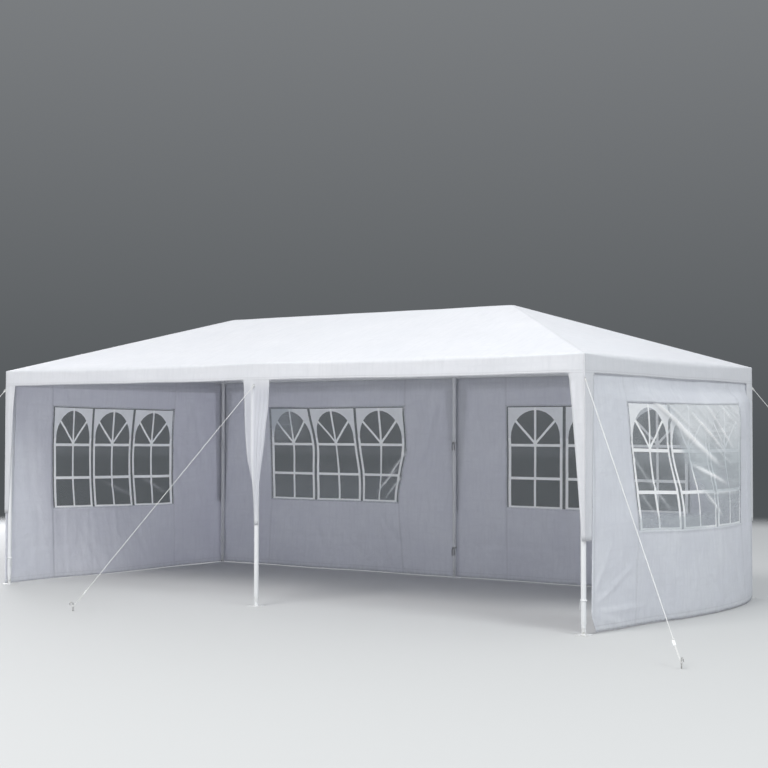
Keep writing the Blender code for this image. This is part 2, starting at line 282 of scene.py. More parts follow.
def only(kind, items):
    """Those of one kind, such as vertices, among what an operator gives back."""
    return [item for item in items if isinstance(item, kind)]


def along(start, end):
    """Placement whose Z axis runs from one point towards another."""
    return Matrix.Translation(start) @ (end - start).to_track_quat("Z", "Y").to_matrix().to_4x4()


def settle(bm, before, place):
    """Turns the faces made since then outwards and moves them to their place."""
    made = [vert for vert in bm.verts if vert not in before]
    faces = list(dict.fromkeys(face for vert in made for face in vert.link_faces))
    bmesh.ops.recalc_face_normals(bm, faces=faces)
    bmesh.ops.transform(bm, matrix=place, verts=made)
    return faces


def turned(bm, profile, place, closed=False, steps=TUBE_SIDES):
    """Turns a profile of radius and height round Z, closes it at its poles and puts it in place."""
    before = set(bm.verts)
    line = [bm.verts.new((radius, 0, height)) for radius, height in profile]
    edges = [bm.edges.new(pair) for pair in zip(line, line[1:] + line[:1] * closed)]
    round_z = {"cent": (0, 0, 0), "axis": UP, "angle": math.tau}
    bmesh.ops.spin(bm, geom=line + edges, steps=steps, use_merge=True, **round_z)
    bmesh.ops.remove_doubles(bm, verts=[vert for vert in bm.verts if vert not in before], dist=1e-6)
    return settle(bm, before, place)


def add_ring(bm, radius, thickness, height, place, points=10, steps=TUBE_SIDES):
    """Round ring about a placement's Z axis."""
    angles = [math.tau * step / points for step in range(points)]
    section = [(radius + thickness * math.cos(a), height + thickness * math.sin(a)) for a in angles]
    turned(bm, section, place, closed=True, steps=steps)


def add_piece(name, bm, materials, replaces=(), crease=40.0):
    """Makes the finished mesh one piece of the tent, in a slot's finish and in the place of its nodes."""
    mesh = mesh_of(name, bm)
    for material in materials:
        mesh.materials.append(material)
    mesh.shade_smooth()
    mesh.set_sharp_from_angle(angle=math.radians(crease))
    made = link_new(name, mesh)
    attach(made, "root")
    if replaces:
        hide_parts(*replaces)
    return made


def nodes_named(*starts):
    return [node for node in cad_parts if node.startswith(starts)]


def merged_points(node):
    """Places of a node's corners, each once."""
    bm = bmesh.new()
    bm.from_mesh(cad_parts[node].data)
    bmesh.ops.remove_doubles(bm, verts=bm.verts, dist=1e-5)
    points = [vert.co.copy() for vert in bm.verts]
    bm.free()
    return points


def middle_of(points):
    return sum(points, Vector()) / len(points)


def rod_ends(node):
    """Middles of a straight rod's two ends, and its radius."""
    points = merged_points(node)
    middle = middle_of(points)
    axis = max(points, key=lambda point: (point - middle).length) - middle
    first = middle_of([point for point in points if (point - middle).dot(axis) < 0])
    last = middle_of([point for point in points if (point - middle).dot(axis) > 0])
    axis = (last - first).normalized()
    offsets = [point - first for point in points]
    return first, last, max((offset - axis * offset.dot(axis)).length for offset in offsets)


def add_button(bm, start, end, radius):
    """Sprung button near a tube's end, turned down so that it is out of the cloth's way."""
    axis = (end - start).normalized()
    side = axis.cross(UP)
    side = Vector((1, 0, 0)) if side.length < 0.1 else side.normalized()
    base = start + axis * BUTTON_FROM_END
    dome = [(BUTTON_RADIUS * math.cos(a), radius + BUTTON_PROUD * math.sin(a)) for a in (0, 0.5, 1.0, 1.3)]
    profile = [(0, radius * 0.5), (BUTTON_RADIUS, radius * 0.5), *dome, (0, radius + BUTTON_PROUD)]
    for face in turned(bm, profile, along(base, base + side), steps=12):
        face.material_index = 1


kinds = ("rail", "rafter", "ridge_pole")
RODS = {node: rod_ends(node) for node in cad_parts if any(kind in node for kind in kinds)}
for node, (start, end, radius) in RODS.items():
    bm = bmesh.new()
    length = (end - start).length
    profile = [(0, 0), (radius - END_CHAMFER, 0), (radius, END_CHAMFER)]
    profile += [(radius, length - END_CHAMFER), (radius - END_CHAMFER, length), (0, length)]
    turned(bm, profile, along(start, end))
    add_button(bm, start, end, radius)
    add_button(bm, end, start, radius)
    add_piece("painted_" + node, bm, [TUBE_COAT, BUTTON_STEEL], [node])


def foot_plate(half, thickness):
    """Square plate with round corners and a peg hole either side of the leg, standing on the ground."""
    bm = bmesh.new()
    bmesh.ops.create_grid(bm, x_segments=1, y_segments=1, size=half)
    bmesh.ops.bevel(
        bm, geom=list(bm.verts), offset=FOOT_CORNER, segments=5, profile=0.5, affect="VERTICES", material=-1
    )
    bmesh.ops.delete(bm, geom=list(bm.faces), context="FACES_ONLY")
    for side in (-1, 1):
        hole = Matrix.Translation((side * PEG_HOLE_OUT, 0, 0))
        bmesh.ops.create_circle(bm, cap_ends=False, segments=16, radius=PEG_HOLE_RADIUS, matrix=hole)
    bmesh.ops.triangle_fill(bm, use_beauty=True, edges=list(bm.edges), normal=UP)
    raised = bmesh.ops.extrude_face_region(bm, geom=list(bm.faces))["geom"]
    bmesh.ops.translate(bm, verts=only(BMVert, raised), vec=(0, 0, thickness))
    bmesh.ops.recalc_face_normals(bm, faces=bm.faces)
    return mesh_of("foot_plate", bm)


LEGS = {}
for node in nodes_named("leg_"):
    points = merged_points(node)
    low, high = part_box(node)
    x, y = ((low + high) / 2).xy
    top = max(point.z for point in points)
    radius = max(math.hypot(point.x - x, point.y - y) for point in points if point.z > top - NEAR)
    LEGS[node] = (x, y, top, radius)
    plate_top = min(point.z for point in points if point.z > low.z + NEAR)
    stub_points = [point for point in points if plate_top + NEAR < point.z < top - NEAR]
    stub_top = min(point.z for point in stub_points)
    stub_radius = min(math.hypot(point.x - x, point.y - y) for point in stub_points)
    foot = Matrix.Translation((x, y, 0))
    bm = bmesh.new()
    profile = [(0, plate_top), (stub_radius, plate_top), (stub_radius, stub_top - SHOULDER)]
    profile += [(radius, stub_top), (radius, top - END_CHAMFER), (radius - END_CHAMFER, top), (0, top)]
    turned(bm, profile, foot)
    add_ring(bm, stub_radius, WELD_RADIUS, plate_top, foot)
    plate = foot_plate((high.x - low.x) / 2, plate_top - low.z)
    plate.transform(foot)
    bm.from_mesh(plate)
    add_button(bm, Vector((x, y, top)), Vector((x, y, 0)), radius)
    add_piece("painted_" + node, bm, [TUBE_COAT, BUTTON_STEEL], [node])

# Connectors
# Short sockets of slightly wider steel tube, welded round a hub where the tubes meet and coated like them.
# Each socket has an open bore with a rounded rim, and a bead of weld at its root.

LIP = 0.0008
BEAD = 0.0022
SOCKET_COAT = powder_coat("socket_powder_coat", (0.76, 0.77, 0.785), 0.38)

rod_tips = [(start, end) for start, end, radius in RODS.values()]
rod_tips += [(end, start) for start, end, radius in RODS.values()]
rod_tips += [(Vector((x, y, top)), Vector((x, y, 0))) for x, y, top, radius in LEGS.values()]

for node in nodes_named("connector_"):
    low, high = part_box(node)
    meeting = [tip for tip in rod_tips if all(low[i] < tip[0][i] < high[i] for i in range(3))]
    ways = [(far - tip).normalized() for tip, far in meeting]
    squarest = min(range(len(meeting)), key=lambda index: abs(ways[index].dot(ways[0])))
    hub = intersect_line_line(*meeting[0], *meeting[squarest])[0]
    points = merged_points(node)
    hub_radius = min((point - hub).length for point in points if point.z >= hub.z)
    ball = hub_radius + BEAD / 2
    angles = [math.radians(15 * step) for step in range(-5, 6)]
    bm = bmesh.new()
    dome = [(0, -ball), *((ball * math.cos(a), ball * math.sin(a)) for a in angles), (0, ball)]
    turned(bm, dome, Matrix.Translation(hub))
    for tip, far in meeting:
        outward = (tip - hub).normalized()
        mouth = max((point - hub).dot(outward) for point in points)
        rim = [point for point in points if (point - hub).dot(outward) > mouth - NEAR]
        wall = sorted((point - hub - outward * mouth).length for point in rim)
        bore, outer, seat = wall[0], wall[-1], (tip - hub).length
        profile = [(0, 0), (outer, 0), (outer, mouth - LIP), (outer - LIP, mouth)]
        turned(bm, profile + [(bore, mouth), (bore, seat), (0, seat)], along(hub, tip))
        add_ring(bm, outer, BEAD, hub_radius * 0.9, along(hub, tip))
    add_piece("painted_" + node, bm, [SOCKET_COAT], [node])

# Cover
# One sheet of white woven polyethylene tape cloth, sewn to the shape of the hip roof. It folds over the eave
# rails into a hemmed valance, and at each leg a tapered flap runs on down the post and wraps it.

COVER_PITCH = 0.034
SHEET = 0.0012
CREASE_SOFTNESS = 0.010
SEAM_HALF, SEAM_RISE = 0.009, 0.0009
SAG_DEPTH = 0.011
# The sag and the waves die away where two slopes' planes are less than this apart, and this near to the
# middle rafters and the edge.
SAG_BY_HIP, SAG_BY_RAFTER = 0.16, 0.9
WAVES_BY_HIP, WAVES_BY_EDGE = 0.05, 0.25
# Powers by which the sheet is drawn in to its fold: the higher, the nearer to the edge.
PULL_SIDE, PULL_END = 12, 24
# Waves in the cover: height, how many a metre along and across it, and seed.
COVER_WAVES = ((0.004, 1.1, 1.6, 3.7), (0.0015, 3.1, 4.2, 9.1))
FOLD_ROWS = 6
FOLD_AT_POST, FOLD_SLACK_END, FOLD_SLACK_SIDE = 0.009, 0.052, 0.034
HEM, HEM_STEP = 0.022, 0.0008
HEM_WAVE, HEM_WAVES = 0.004, 1.9
DROOP, DROOP_MIDDLE, DROOP_HALF = 0.004, 1.9, 0.9
STANDS_OUT, OUT_WAVE, OUT_CRIMP, HELD_BY_CORNER = 0.004, 0.007, 0.0015, 0.08
TAPE_PITCH = 0.0028
STITCH, STITCH_HALF_WIDTH, STITCH_DRAWS_IN = 0.0055, 0.0007, 0.006
SEAM_SHADE, STREAK_SHADE = 0.22, 0.94
# FLAP_SHADE_TONE is painted shade: the grey of the front middle flap where it hangs off its post and light
# passes through it.
FLAP_SHADE_TONE, SPLASHED_TONE = (0.735, 0.75, 0.785), (0.34, 0.35, 0.27)
SEAM_TONE, THREAD_TONE = (0.26, 0.27, 0.30), (0.9, 0.9, 0.9)
PASSED_SHARE, PASSED_TONE = 0.4, (0.81, 0.755, 0.915)
CLOTH_THROUGH = 0.34
MIDDLE_FLAP_HALF = 0.137
FRONT_FLAP_LEFT, FRONT_FLAP_RIGHT = -0.115, 0.159
CORNER_FLAP = 0.130
FLAP_TIP, FLAP_END_TIP = 0.034, 0.095
FLAP_ROWS, FLAP_PITCH = 30, 0.0095
POST_CLEARANCE = 0.0022
FLAP_RIDGE, RIDGE_HALF = -0.026, 0.009
# The front middle flap leans back either side of its ridge, and has fine and broad folds.
LEANS_LEFT, LEANS_RIGHT = 0.15, 0.20
FINE_FOLD, BROAD_FOLD = 0.0042, 0.0018
# The other flaps lie off the valance by a little, and the front corner ones hug their posts.
FLAP_OFF, BACK_PLEAT, CORNER_HUG = 0.002, 0.003, 0.009
ROOF_MAP_APART = 10.0
SHARPEST = 70.0

panel_points = merged_points("roof_panel_front")
half_length = max(point.x for point in panel_points)
half_depth = -min(point.y for point in panel_points)
ridge_top = max(point.z for point in panel_points)
eave_top = max(point.z for point in panel_points if point.y < 0.001 - half_depth)
half_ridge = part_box("roof_panel_right")[0].x
end_depth = half_length - half_ridge
side_pitch, end_pitch = (ridge_top - eave_top) / half_depth, (ridge_top - eave_top) / end_depth
side_angle, end_angle = math.atan(side_pitch), math.atan(end_pitch)
flap_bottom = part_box("valance_front")[0].z
valance_bottom = sorted({round(point.z, 4) for point in merged_points("valance_front")})[1]
post_y, post_radius = abs(LEGS["leg_front_right"][1]), LEGS["leg_front_right"][3]


def smooth_step(low, high, value):
    share = min(max((value - low) / (high - low), 0.0), 1.0)
    return share * share * (3 - 2 * share)


def swell(value, middle, reach):
    """1 at the middle, falling smoothly to 0 at the reach on either side."""
    share = min(abs(value - middle) / reach, 1.0)
    return (1 - share * share) ** 2


def ripple(x, y, z):
    """Smooth chance value about 0."""
    return noise.noise(Vector((x, y, z)))


def stops(marks, pitch):
    """Grid lines through every mark, with equal steps of about one pitch between them."""
    lines = [marks[0]]
    for start, end in zip(marks, marks[1:]):
        count = max(1, round((end - start) / pitch))
        lines += [start + (end - start) * step / count for step in range(1, count + 1)]
    return lines


def grid_through(columns, rows):
    """Flat grid of faces whose lines run through the given places."""
    bm = bmesh.new()
    across, up = len(columns) - 1, len(rows) - 1
    bmesh.ops.create_grid(bm, x_segments=across, y_segments=up, size=0.5)
    for vert in bm.verts:
        vert.co = (columns[round((vert.co.x + 0.5) * across)], rows[round((vert.co.y + 0.5) * up)], 0)
    return bm


def faces_at(faces, wanted):
    """Faces whose middles are wanted."""
    return [face for face in faces if wanted(face.calc_center_median())]


def cut_faces(bm, faces, point, normal):
    """Cuts faces along a plane; gives back those behind it and those before it."""
    geometry = dict.fromkeys(faces)
    for face in faces:
        geometry.update(dict.fromkeys((*face.edges, *face.verts)))
    done = bmesh.ops.bisect_plane(bm, geom=list(geometry), dist=1e-6, plane_co=point, plane_no=normal)
    behind, before = [], []
    for face in only(BMFace, done["geom"]):
        (before if (face.calc_center_median() - point).dot(normal) > 0 else behind).append(face)
    return behind, before


# Flat tapes woven over and under each other, as a height from 0 to 1.
TAPE_WEAVE, given, end = new_group("tape_weave", ("Vector", "Pitch"), ("Height",))
parts = add_node(TAPE_WEAVE, "SeparateXYZ", Vector=given["Vector"]).outputs
turns = math_of(TAPE_WEAVE, "DIVIDE", math.pi, given["Pitch"])
angles = [math_of(TAPE_WEAVE, "MULTIPLY", parts[axis], turns) for axis in ("X", "Y")]
woven = math_of(TAPE_WEAVE, "MULTIPLY", *(math_of(TAPE_WEAVE, "SINE", angle) for angle in angles))
feed(TAPE_WEAVE, end, {"Height": ranged(TAPE_WEAVE, woven, -1.0, 1.0)})

# Small flat facets with sharp edges, as crisp coated cloth gets where it has been folded in its bag.
CRUMPLE, given, end = new_group("crumple", ("Vector", "Scale"), ("Height",))
flat = given["Vector"]
bend = add_node(CRUMPLE, "TexNoise", Vector=flat, Scale=1.6, Detail=3.0).outputs["Color"]
moved = add_node(CRUMPLE, "VectorMath", {"operation": "MULTIPLY_ADD"}, i0=bend, i1=(0.5, 0.5, 0.5), i2=flat)
cells = add_node(CRUMPLE, "TexVoronoi", Vector=moved.outputs[0], Scale=given["Scale"], Detail=2.0)
feed(CRUMPLE, end, {"Height": cells.outputs["Distance"]})

# A row of lock stitches along a seam, and the shade of the cloth that they draw in.
STITCH_ROW, given, end = new_group("stitch_row", ("Across", "Along", "At"), ("Thread", "Shade"))
away = math_of(STITCH_ROW, "ABSOLUTE", math_of(STITCH_ROW, "SUBTRACT", given["Across"], given["At"]))
on_line = math_of(STITCH_ROW, "LESS_THAN", away, STITCH_HALF_WIDTH)
part = math_of(STITCH_ROW, "FRACT", math_of(STITCH_ROW, "DIVIDE", given["Along"], STITCH))
feed(STITCH_ROW, end, {
    "Thread": math_of(STITCH_ROW, "MULTIPLY", on_line, math_of(STITCH_ROW, "LESS_THAN", part, 0.62)),
    "Shade": ranged(STITCH_ROW, away, 0.0, STITCH_DRAWS_IN, 1.0, 0.0),
})


def most_of(tree, masks):
    """The strongest of several masks."""
    total = masks[0]
    for mask in masks[1:]:
        total = math_of(tree, "MAXIMUM", total, mask)
    return total


def let_light_through(tree, shader, share, colour):
    """Lets a share of the light pass into a thin sheet and out on its other side."""
    passed = add_node(tree, "BsdfTranslucent", Color=colour).outputs["BSDF"]
    both = add_node(tree, "MixShader", i0=share, i1=shader.outputs["BSDF"], i2=passed)
    feed(tree, tree.nodes["Material Output"], {"Surface": both.outputs["Shader"]})


def stretched(tree, vector, by):
    """Coordinates drawn out along an axis, so that what they carry turns into streaks."""
    return add_node(tree, "VectorMath", {"operation": "MULTIPLY"}, i0=vector, i1=by).outputs["Vector"]


def attribute(tree, name):
    return add_node(tree, "Attribute", {"attribute_name": name}).outputs["Fac"]


def flat_map(tree):
    return add_node(tree, "UVMap", {"uv_map": "cut"}).outputs["UV"]


def woven_sheet(name, colour, dull, roughness, crumple, sewn_rows):
    """Coated tape cloth that lets some light through: weave, crumple, clouds of tone, sewn seams and painted
    shade on the front middle flap.
    """
    material, tree, shader, place = new_material(name, colour, roughness)
    cut = flat_map(tree)
    warp = clouds(tree, stretched(tree, cut, (1.0, 0.14, 1.0)), 34.0, -0.25, 0.75)
    weft = clouds(tree, stretched(tree, cut, (0.14, 1.0, 1.0)), 30.0, -0.35, 0.6)
    clean = mixed(tree, clouds(tree, place, 2.1, -0.1, 1.0), colour, dull)
    streaked = mixed(tree, most_of(tree, [warp, weft]), clean, shaded(dull, STREAK_SHADE))
    toned = mixed(tree, dirt_on(tree, place, 0.10, 0.22), streaked, SPLASHED_TONE)
    # Painted shade: the front middle flap turns grey off its post, by its "thin" layer, for the light passing
    # through it there.
    toned = mixed(tree, attribute(tree, "thin"), toned, FLAP_SHADE_TONE)
    parts = add_node(tree, "SeparateXYZ", Vector=cut).outputs
    aside, level = math_of(tree, "ABSOLUTE", parts["X"]), parts["Y"]
    ways = {"upright": (aside, level), "level": (level, aside), "hip": (attribute(tree, "from_hip"), level)}
    sewn = [
        use_group(tree, STITCH_ROW, Across=ways[way][0], Along=ways[way][1], At=at) for way, at in sewn_rows
    ]
    seams = most_of(tree, [row["Shade"] for row in sewn])
    gathered = mixed(tree, math_of(tree, "MULTIPLY", seams, SEAM_SHADE), toned, SEAM_TONE)
    shown = mixed(tree, most_of(tree, [row["Thread"] for row in sewn]), gathered, THREAD_TONE)
    let_light_through(tree, shader, CLOTH_THROUGH, mixed(tree, PASSED_SHARE, shown, PASSED_TONE))
    weave = bumped(tree, use_group(tree, TAPE_WEAVE, Vector=cut, Pitch=TAPE_PITCH)[0], 0.25, 0.0003)
    sunk = bumped(tree, seams, 0.8, 0.0008, invert=True, Normal=weave)
    facets = use_group(tree, CRUMPLE, Vector=cut, Scale=5.5)[0]
    feed(tree, shader, {
        "Specular_IOR_Level": 0.35,
        "Base_Color": shown,
        "Roughness": clouds(tree, place, 3.0, roughness - 0.08, roughness + 0.12),
        "Normal": bumped(tree, facets, crumple, 0.006, Normal=sunk),
    })
    return material


COVER_CLOTH = woven_sheet(
    "cover_cloth", (0.87, 0.88, 0.89), (0.84, 0.855, 0.87), 0.52, 0.35,
    [("level", -0.0025), ("level", 0.003 - HEM), ("hip", -0.006), ("hip", 0.006)],
)


def lay_out(bm, depth_below):
    """Flat map of the cover in metres: the slopes from above, the skirt along its edge and down its drop."""
    flat = bm.loops.layers.uv.new("cut")
    bm.normal_update()
    for face in bm.faces:
        skirt = abs(face.normal.z) < 0.6
        along_x = abs(face.normal.y) > abs(face.normal.x)
        for loop in face.loops:
            x, y = loop.vert.co.xy
            on_skirt = (x if along_x else y, loop.vert[depth_below])
            loop[flat].uv = on_skirt if skirt else (x, y + ROOF_MAP_APART)


def cover_height(x, y):
    """Top of the cover over a point of the plan: two slopes that meet softly, each with a little sag."""
    out_x, out_y = abs(x), math.hypot(y, CREASE_SOFTNESS)
    side = (half_depth - out_y) * side_pitch
    end = (half_length - out_x) * end_pitch
    apart = abs(side - end)
    meet = max(CREASE_SOFTNESS - apart, 0) / CREASE_SOFTNESS
    height = eave_top + min(side, end) - meet * meet * CREASE_SOFTNESS / 4
    slack = math.sin(math.pi * (out_y / half_depth if side < end else (half_length - out_x) / end_depth))
    slack *= smooth_step(0, SAG_BY_HIP, apart) * (smooth_step(0, SAG_BY_RAFTER, out_x) if side < end else 1)
    waves = sum(high * ripple(x * by_x, y * by_y, seed) for high, by_x, by_y, seed in COVER_WAVES)
    inside = smooth_step(0, WAVES_BY_EDGE, min(half_length - out_x, half_depth - abs(y)))
    seam = SEAM_RISE if apart < SEAM_HALF * side_pitch * 1.1 else 0
    return height - SAG_DEPTH * slack + waves * inside * smooth_step(0, WAVES_BY_HIP, apart) + seam


def fold_radius(start):
    """The fold over the rail is crisp at the posts and slack between them."""
    if abs(start.x) > half_length - NEAR:
        return FOLD_AT_POST + FOLD_SLACK_END * max(1 - (start.y / half_depth) ** 2, 0)
    share = abs(start.x) / half_length
    return FOLD_AT_POST + FOLD_SLACK_SIDE * 4 * share * (1 - share)


corner_marks = [0.0, 0.022, 0.043, 0.065, 0.087, 0.108, CORNER_FLAP]
flap_marks = stops([FRONT_FLAP_LEFT, FLAP_RIDGE, FRONT_FLAP_RIGHT], FLAP_PITCH)
middle_marks = sorted([-half_ridge, -MIDDLE_FLAP_HALF, *flap_marks, MIDDLE_FLAP_HALF + 0.0003, half_ridge])
lines = []
for edge, inner in ((half_length, middle_marks), (half_depth, [-CREASE_SOFTNESS, 0, CREASE_SOFTNESS])):
    first, last = [mark - edge for mark in corner_marks], [edge - mark for mark in corner_marks[::-1]]
    lines.append(stops(first + inner + last, COVER_PITCH))
bm = grid_through(*lines)
for end in (-1, 1):
    for side in (-1, 1):
        hip = Vector((end * end_depth, side * half_depth, 0)).normalized()
        across = Vector((hip.y, -hip.x, 0))
        corner = Vector((end * half_length, side * half_depth, 0))
        for offset in (-SEAM_HALF, 0, SEAM_HALF):
            quarter = faces_at(bm.faces, lambda at: at.x * end > half_ridge - 0.02 and at.y * side > 0)
            cut_faces(bm, quarter, corner + across * offset, across)

plan = bm.verts.layers.float_vector.new("plan")
# The "thin" layer holds the share of painted shade on the front middle flap.
below, from_hip, thin = (bm.verts.layers.float.new(name) for name in ("below", "from_hip", "thin"))
ring = [edge for edge in bm.edges if edge.is_boundary]
for vert in bm.verts:
    start = vert[plan] = vert.co.copy()
    in_x, in_y = half_length - abs(start.x), half_depth - abs(start.y)
    vert[from_hip] = (in_x * half_depth - in_y * end_depth) / math.hypot(half_depth, end_depth)
    side_edge = Vector((min(max(start.x, 0.001 - half_length), half_length - 0.001), half_depth, 0))
    end_edge = Vector((half_length, start.y, 0))
    pull_y = fold_radius(side_edge) * (1 - math.sin(side_angle)) * (abs(start.y) / half_depth) ** PULL_SIDE
    pull_x = fold_radius(end_edge) * (1 - math.sin(end_angle)) * (abs(start.x) / half_length) ** PULL_END
    x, y = start.x - math.copysign(pull_x, start.x), start.y - math.copysign(pull_y, start.y)
    vert.co = (x, y, cover_height(x, y))


def next_row(bm, edges, place):
    """Sews one more row to an edge of the sheet and moves it to its place; gives back the new edge."""
    made = bmesh.ops.extrude_edge_only(bm, edges=edges)["geom"]
    verts = set(only(BMVert, made))
    for vert in verts:
        vert.co = place(vert[plan])
        vert[below] = vert.co.z - hem_line(vert[plan])
    return [edge for edge in only(BMEdge, made) if verts.issuperset(edge.verts)]


def hem_line(start):
    """Height of the top of the valance's hem: wavy, and a little lower in the right front bay."""
    wave = HEM_WAVE * ripple(start.x * HEM_WAVES, start.y * HEM_WAVES, 4.4)
    droop = DROOP * swell(start.x, DROOP_MIDDLE, DROOP_HALF) * (start.y < 0)
    return valance_bottom + HEM + wave - droop


def fold_top(start):
    """Height where the fold over the rail has turned straight down."""
    return eave_top - fold_radius(start) * math.tan((math.pi / 2 - side_angle) / 2)


def edge_point(start, outward_x, outward_y, height):
    """Point of the skirt under a point of the plan's edge, moved out from the outer face."""
    x, y = start.x, start.y
    if abs(x) > half_length - NEAR:
        x = math.copysign(half_length + outward_x, x)
    if abs(y) > half_depth - NEAR:
        y = math.copysign(half_depth + outward_y, y)
    return Vector((x, y, height))


def stand_out(start, height):
    """How far the hanging valance stands out: gentle waves that grow towards its hem."""
    x, y = start.x, start.y
    wave = ripple(x * 2.3 + 5, y * 2.3 - 2, 1.3) + 0.5 * ripple(x * 6.1, y * 6.1, 7.7)
    crimp = OUT_CRIMP * math.sin(9 * (x + y)) * ripple(x * 1.7, y * 1.7, 2.2)
    down = smooth_step(0, 1, (fold_top(start) - height) / (fold_top(start) - hem_line(start) + HEM))
    from_corner = smooth_step(0, HELD_BY_CORNER, half_length - abs(x) + half_depth - abs(y))
    return max(down * (STANDS_OUT + OUT_WAVE * wave + crimp), 0) * from_corner


for step in range(1, FOLD_ROWS + 1):

    def over_rail(start):
        radius = fold_radius(start)
        side = side_angle + (math.pi / 2 - side_angle) * step / FOLD_ROWS
        end = end_angle + (math.pi / 2 - end_angle) * step / FOLD_ROWS
        height = fold_top(start) + radius * math.cos(side if abs(start.y) > half_depth - NEAR else end)
        return edge_point(start, -radius * (1 - math.sin(end)), -radius * (1 - math.sin(side)), height)

    ring = next_row(bm, ring, over_rail)

# Rows of the valance: 0 at its top, 1 at its hem line, from there the hem's step, and 2 at its lower edge.
for share in (0.3, 0.65, 1.0, 1.01, 1.5, 2.0):

    def down_valance(start):
        line = hem_line(start)
        if share <= 1:
            height = fold_top(start) + (line - fold_top(start)) * share
        else:
            height = line - HEM_STEP - (HEM - HEM_STEP) * (share - 1.01) / 0.99
        out = stand_out(start, height)
        return edge_point(start, out, out, height)

    ring = next_row(bm, ring, down_valance)


def in_flap(start):
    if start.y < 0:
        at_middle = FRONT_FLAP_LEFT - NEAR < start.x < FRONT_FLAP_RIGHT + NEAR
    else:
        at_middle = abs(start.x) < MIDDLE_FLAP_HALF + 4 * NEAR
    return at_middle or max(half_length - abs(start.x), half_depth - abs(start.y)) < CORNER_FLAP + NEAR


def between(value, places, amounts):
    """Smooth curve through amounts at a few places, level beyond the first and the last."""
    value = min(max(value, places[0]), places[-1])
    at = 0
    while at < len(places) - 2 and value > places[at + 1]:
        at += 1
    before, after = max(at - 1, 0), min(at + 2, len(places) - 1)
    width = places[at + 1] - places[at]
    leave = (amounts[at + 1] - amounts[before]) / (places[at + 1] - places[before]) * width
    arrive = (amounts[after] - amounts[at]) / (places[after] - places[at]) * width
    t = (value - places[at]) / width
    rest = 1 - t
    curve = amounts[at] * rest * rest * (1 + 2 * t) + amounts[at + 1] * t * t * (1 + 2 * rest)
    return curve + leave * t * rest * rest - arrive * t * t * rest


# The front middle flap's two edges on its way down: shares of its height, and places across it.
LEFT_EDGE = (0, 0.18, 0.35, 0.55, 0.75, 1), (FRONT_FLAP_LEFT, -0.116, -0.108, -0.082, -0.062, -0.042)
RIGHT_EDGE = (
    (0, 0.11, 0.25, 0.45, 0.65, 0.75, 1), (FRONT_FLAP_RIGHT, 0.136, 0.108, 0.082, 0.053, 0.036, 0.026)
)


def across_flap(start, share):
    """How far across the front middle flap one of its points lies, in metres and as a share of its width."""
    left, right = between(share, *LEFT_EDGE), between(share, *RIGHT_EDGE)
    part = (start.x - FRONT_FLAP_LEFT) / (FRONT_FLAP_RIGHT - FRONT_FLAP_LEFT)
    return left + (right - left) * part, part


def flap_shade_share(start, share):
    """How much painted shade the front middle flap gets, for the light lost through it: none where it lies on
    its post or is hemmed.
    """
    across, part = across_flap(start, share)
    clear = smooth_step(0.009, 0.019, abs(across - FLAP_RIDGE))
    single = smooth_step(0, 0.06, part) * smooth_step(1, 0.94, part)
    return clear * single * smooth_step(0, 0.08, share) * smooth_step(1, 0.8, share)


def middle_flap(start, share, height):
    """Flap over a middle post: the front one breaks over its post and wraps it further down."""
    if start.y > 0:
        narrow = 1 + (FLAP_TIP / MIDDLE_FLAP_HALF - 1) * share
        pleat = abs(math.sin(start.x * 95 + 1.2)) * smooth_step(0, 0.1, share) * (1 - share)
        return Vector((start.x * narrow, half_depth + FLAP_OFF + BACK_PLEAT * pleat, height))
    across, part = across_flap(start, share)
    opened = smooth_step(0, 0.22, share)
    back = LEANS_LEFT * max(FLAP_RIDGE - across, 0) + LEANS_RIGHT * max(across - FLAP_RIDGE, 0)
    folds = math.sin(part * 41 + share * 2) * smooth_step(0.40, 0.6, part) * FINE_FOLD
    folds += math.sin(part * 15) * BROAD_FOLD
    ridge = RIDGE_HALF * math.exp(-(((across - FLAP_RIDGE) / RIDGE_HALF) ** 2))
    fade = smooth_step(0, 0.12, share) * smooth_step(1, 0.75, share)
    flat = Vector((across, back * opened - half_depth + folds * fade - ridge * opened, height))
    radius = post_radius + POST_CLEARANCE
    angle = across / radius
    wrapped = Vector((radius * math.sin(angle), -post_y - radius * math.cos(angle), height))
    return flat.lerp(wrapped, smooth_step(0.5, 0.97, share))


def corner_flap(start, share, height):
    """Flap round a corner post: an angle of two tapering halves."""
    in_x, in_y = half_length - abs(start.x), half_depth - abs(start.y)
    x = half_length - in_x * (1 + (FLAP_TIP / CORNER_FLAP - 1) * share ** 0.8)
    y = half_depth - in_y * (1 + (FLAP_END_TIP / CORNER_FLAP - 1) * share)
    pleat = math.sin((in_x - in_y) * 90) * smooth_step(0, 0.1, share) * (1 - share)
    hug = CORNER_HUG * smooth_step(0.2, 1, share) * smooth_step(0.0, 0.03, in_x + in_y)
    if in_y < NEAR:
        y += FLAP_OFF * (1 + abs(pleat)) if start.y > 0 else -hug - min(0.005 * pleat, FLAP_OFF)
    if in_x < NEAR:
        x += FLAP_OFF * (1 + abs(pleat))
    return Vector((math.copysign(x, start.x), math.copysign(y, start.y), height))


ring = [edge for edge in ring if all(in_flap(vert[plan]) for vert in edge.verts)]
for step in range(1, FLAP_ROWS + 1):
    share = step / FLAP_ROWS

    def down_flap(start):
        low = hem_line(start) - HEM
        height = low + (flap_bottom - low) * share
        return (middle_flap if abs(start.x) < half_ridge else corner_flap)(start, share, height)

    ring = next_row(bm, ring, down_flap)
    # Each new row of the front middle flap gets its share of painted shade.
    for vert in {vert for edge in ring for vert in edge.verts}:
        if vert[plan].y < 0 and abs(vert[plan].x) < half_ridge:
            vert[thin] = flap_shade_share(vert[plan], share)


def thicken(piece, name, thickness, offset=0.0):
    body = piece.modifiers.new(name, "SOLIDIFY")
    body.thickness = thickness
    body.offset = offset
    return body


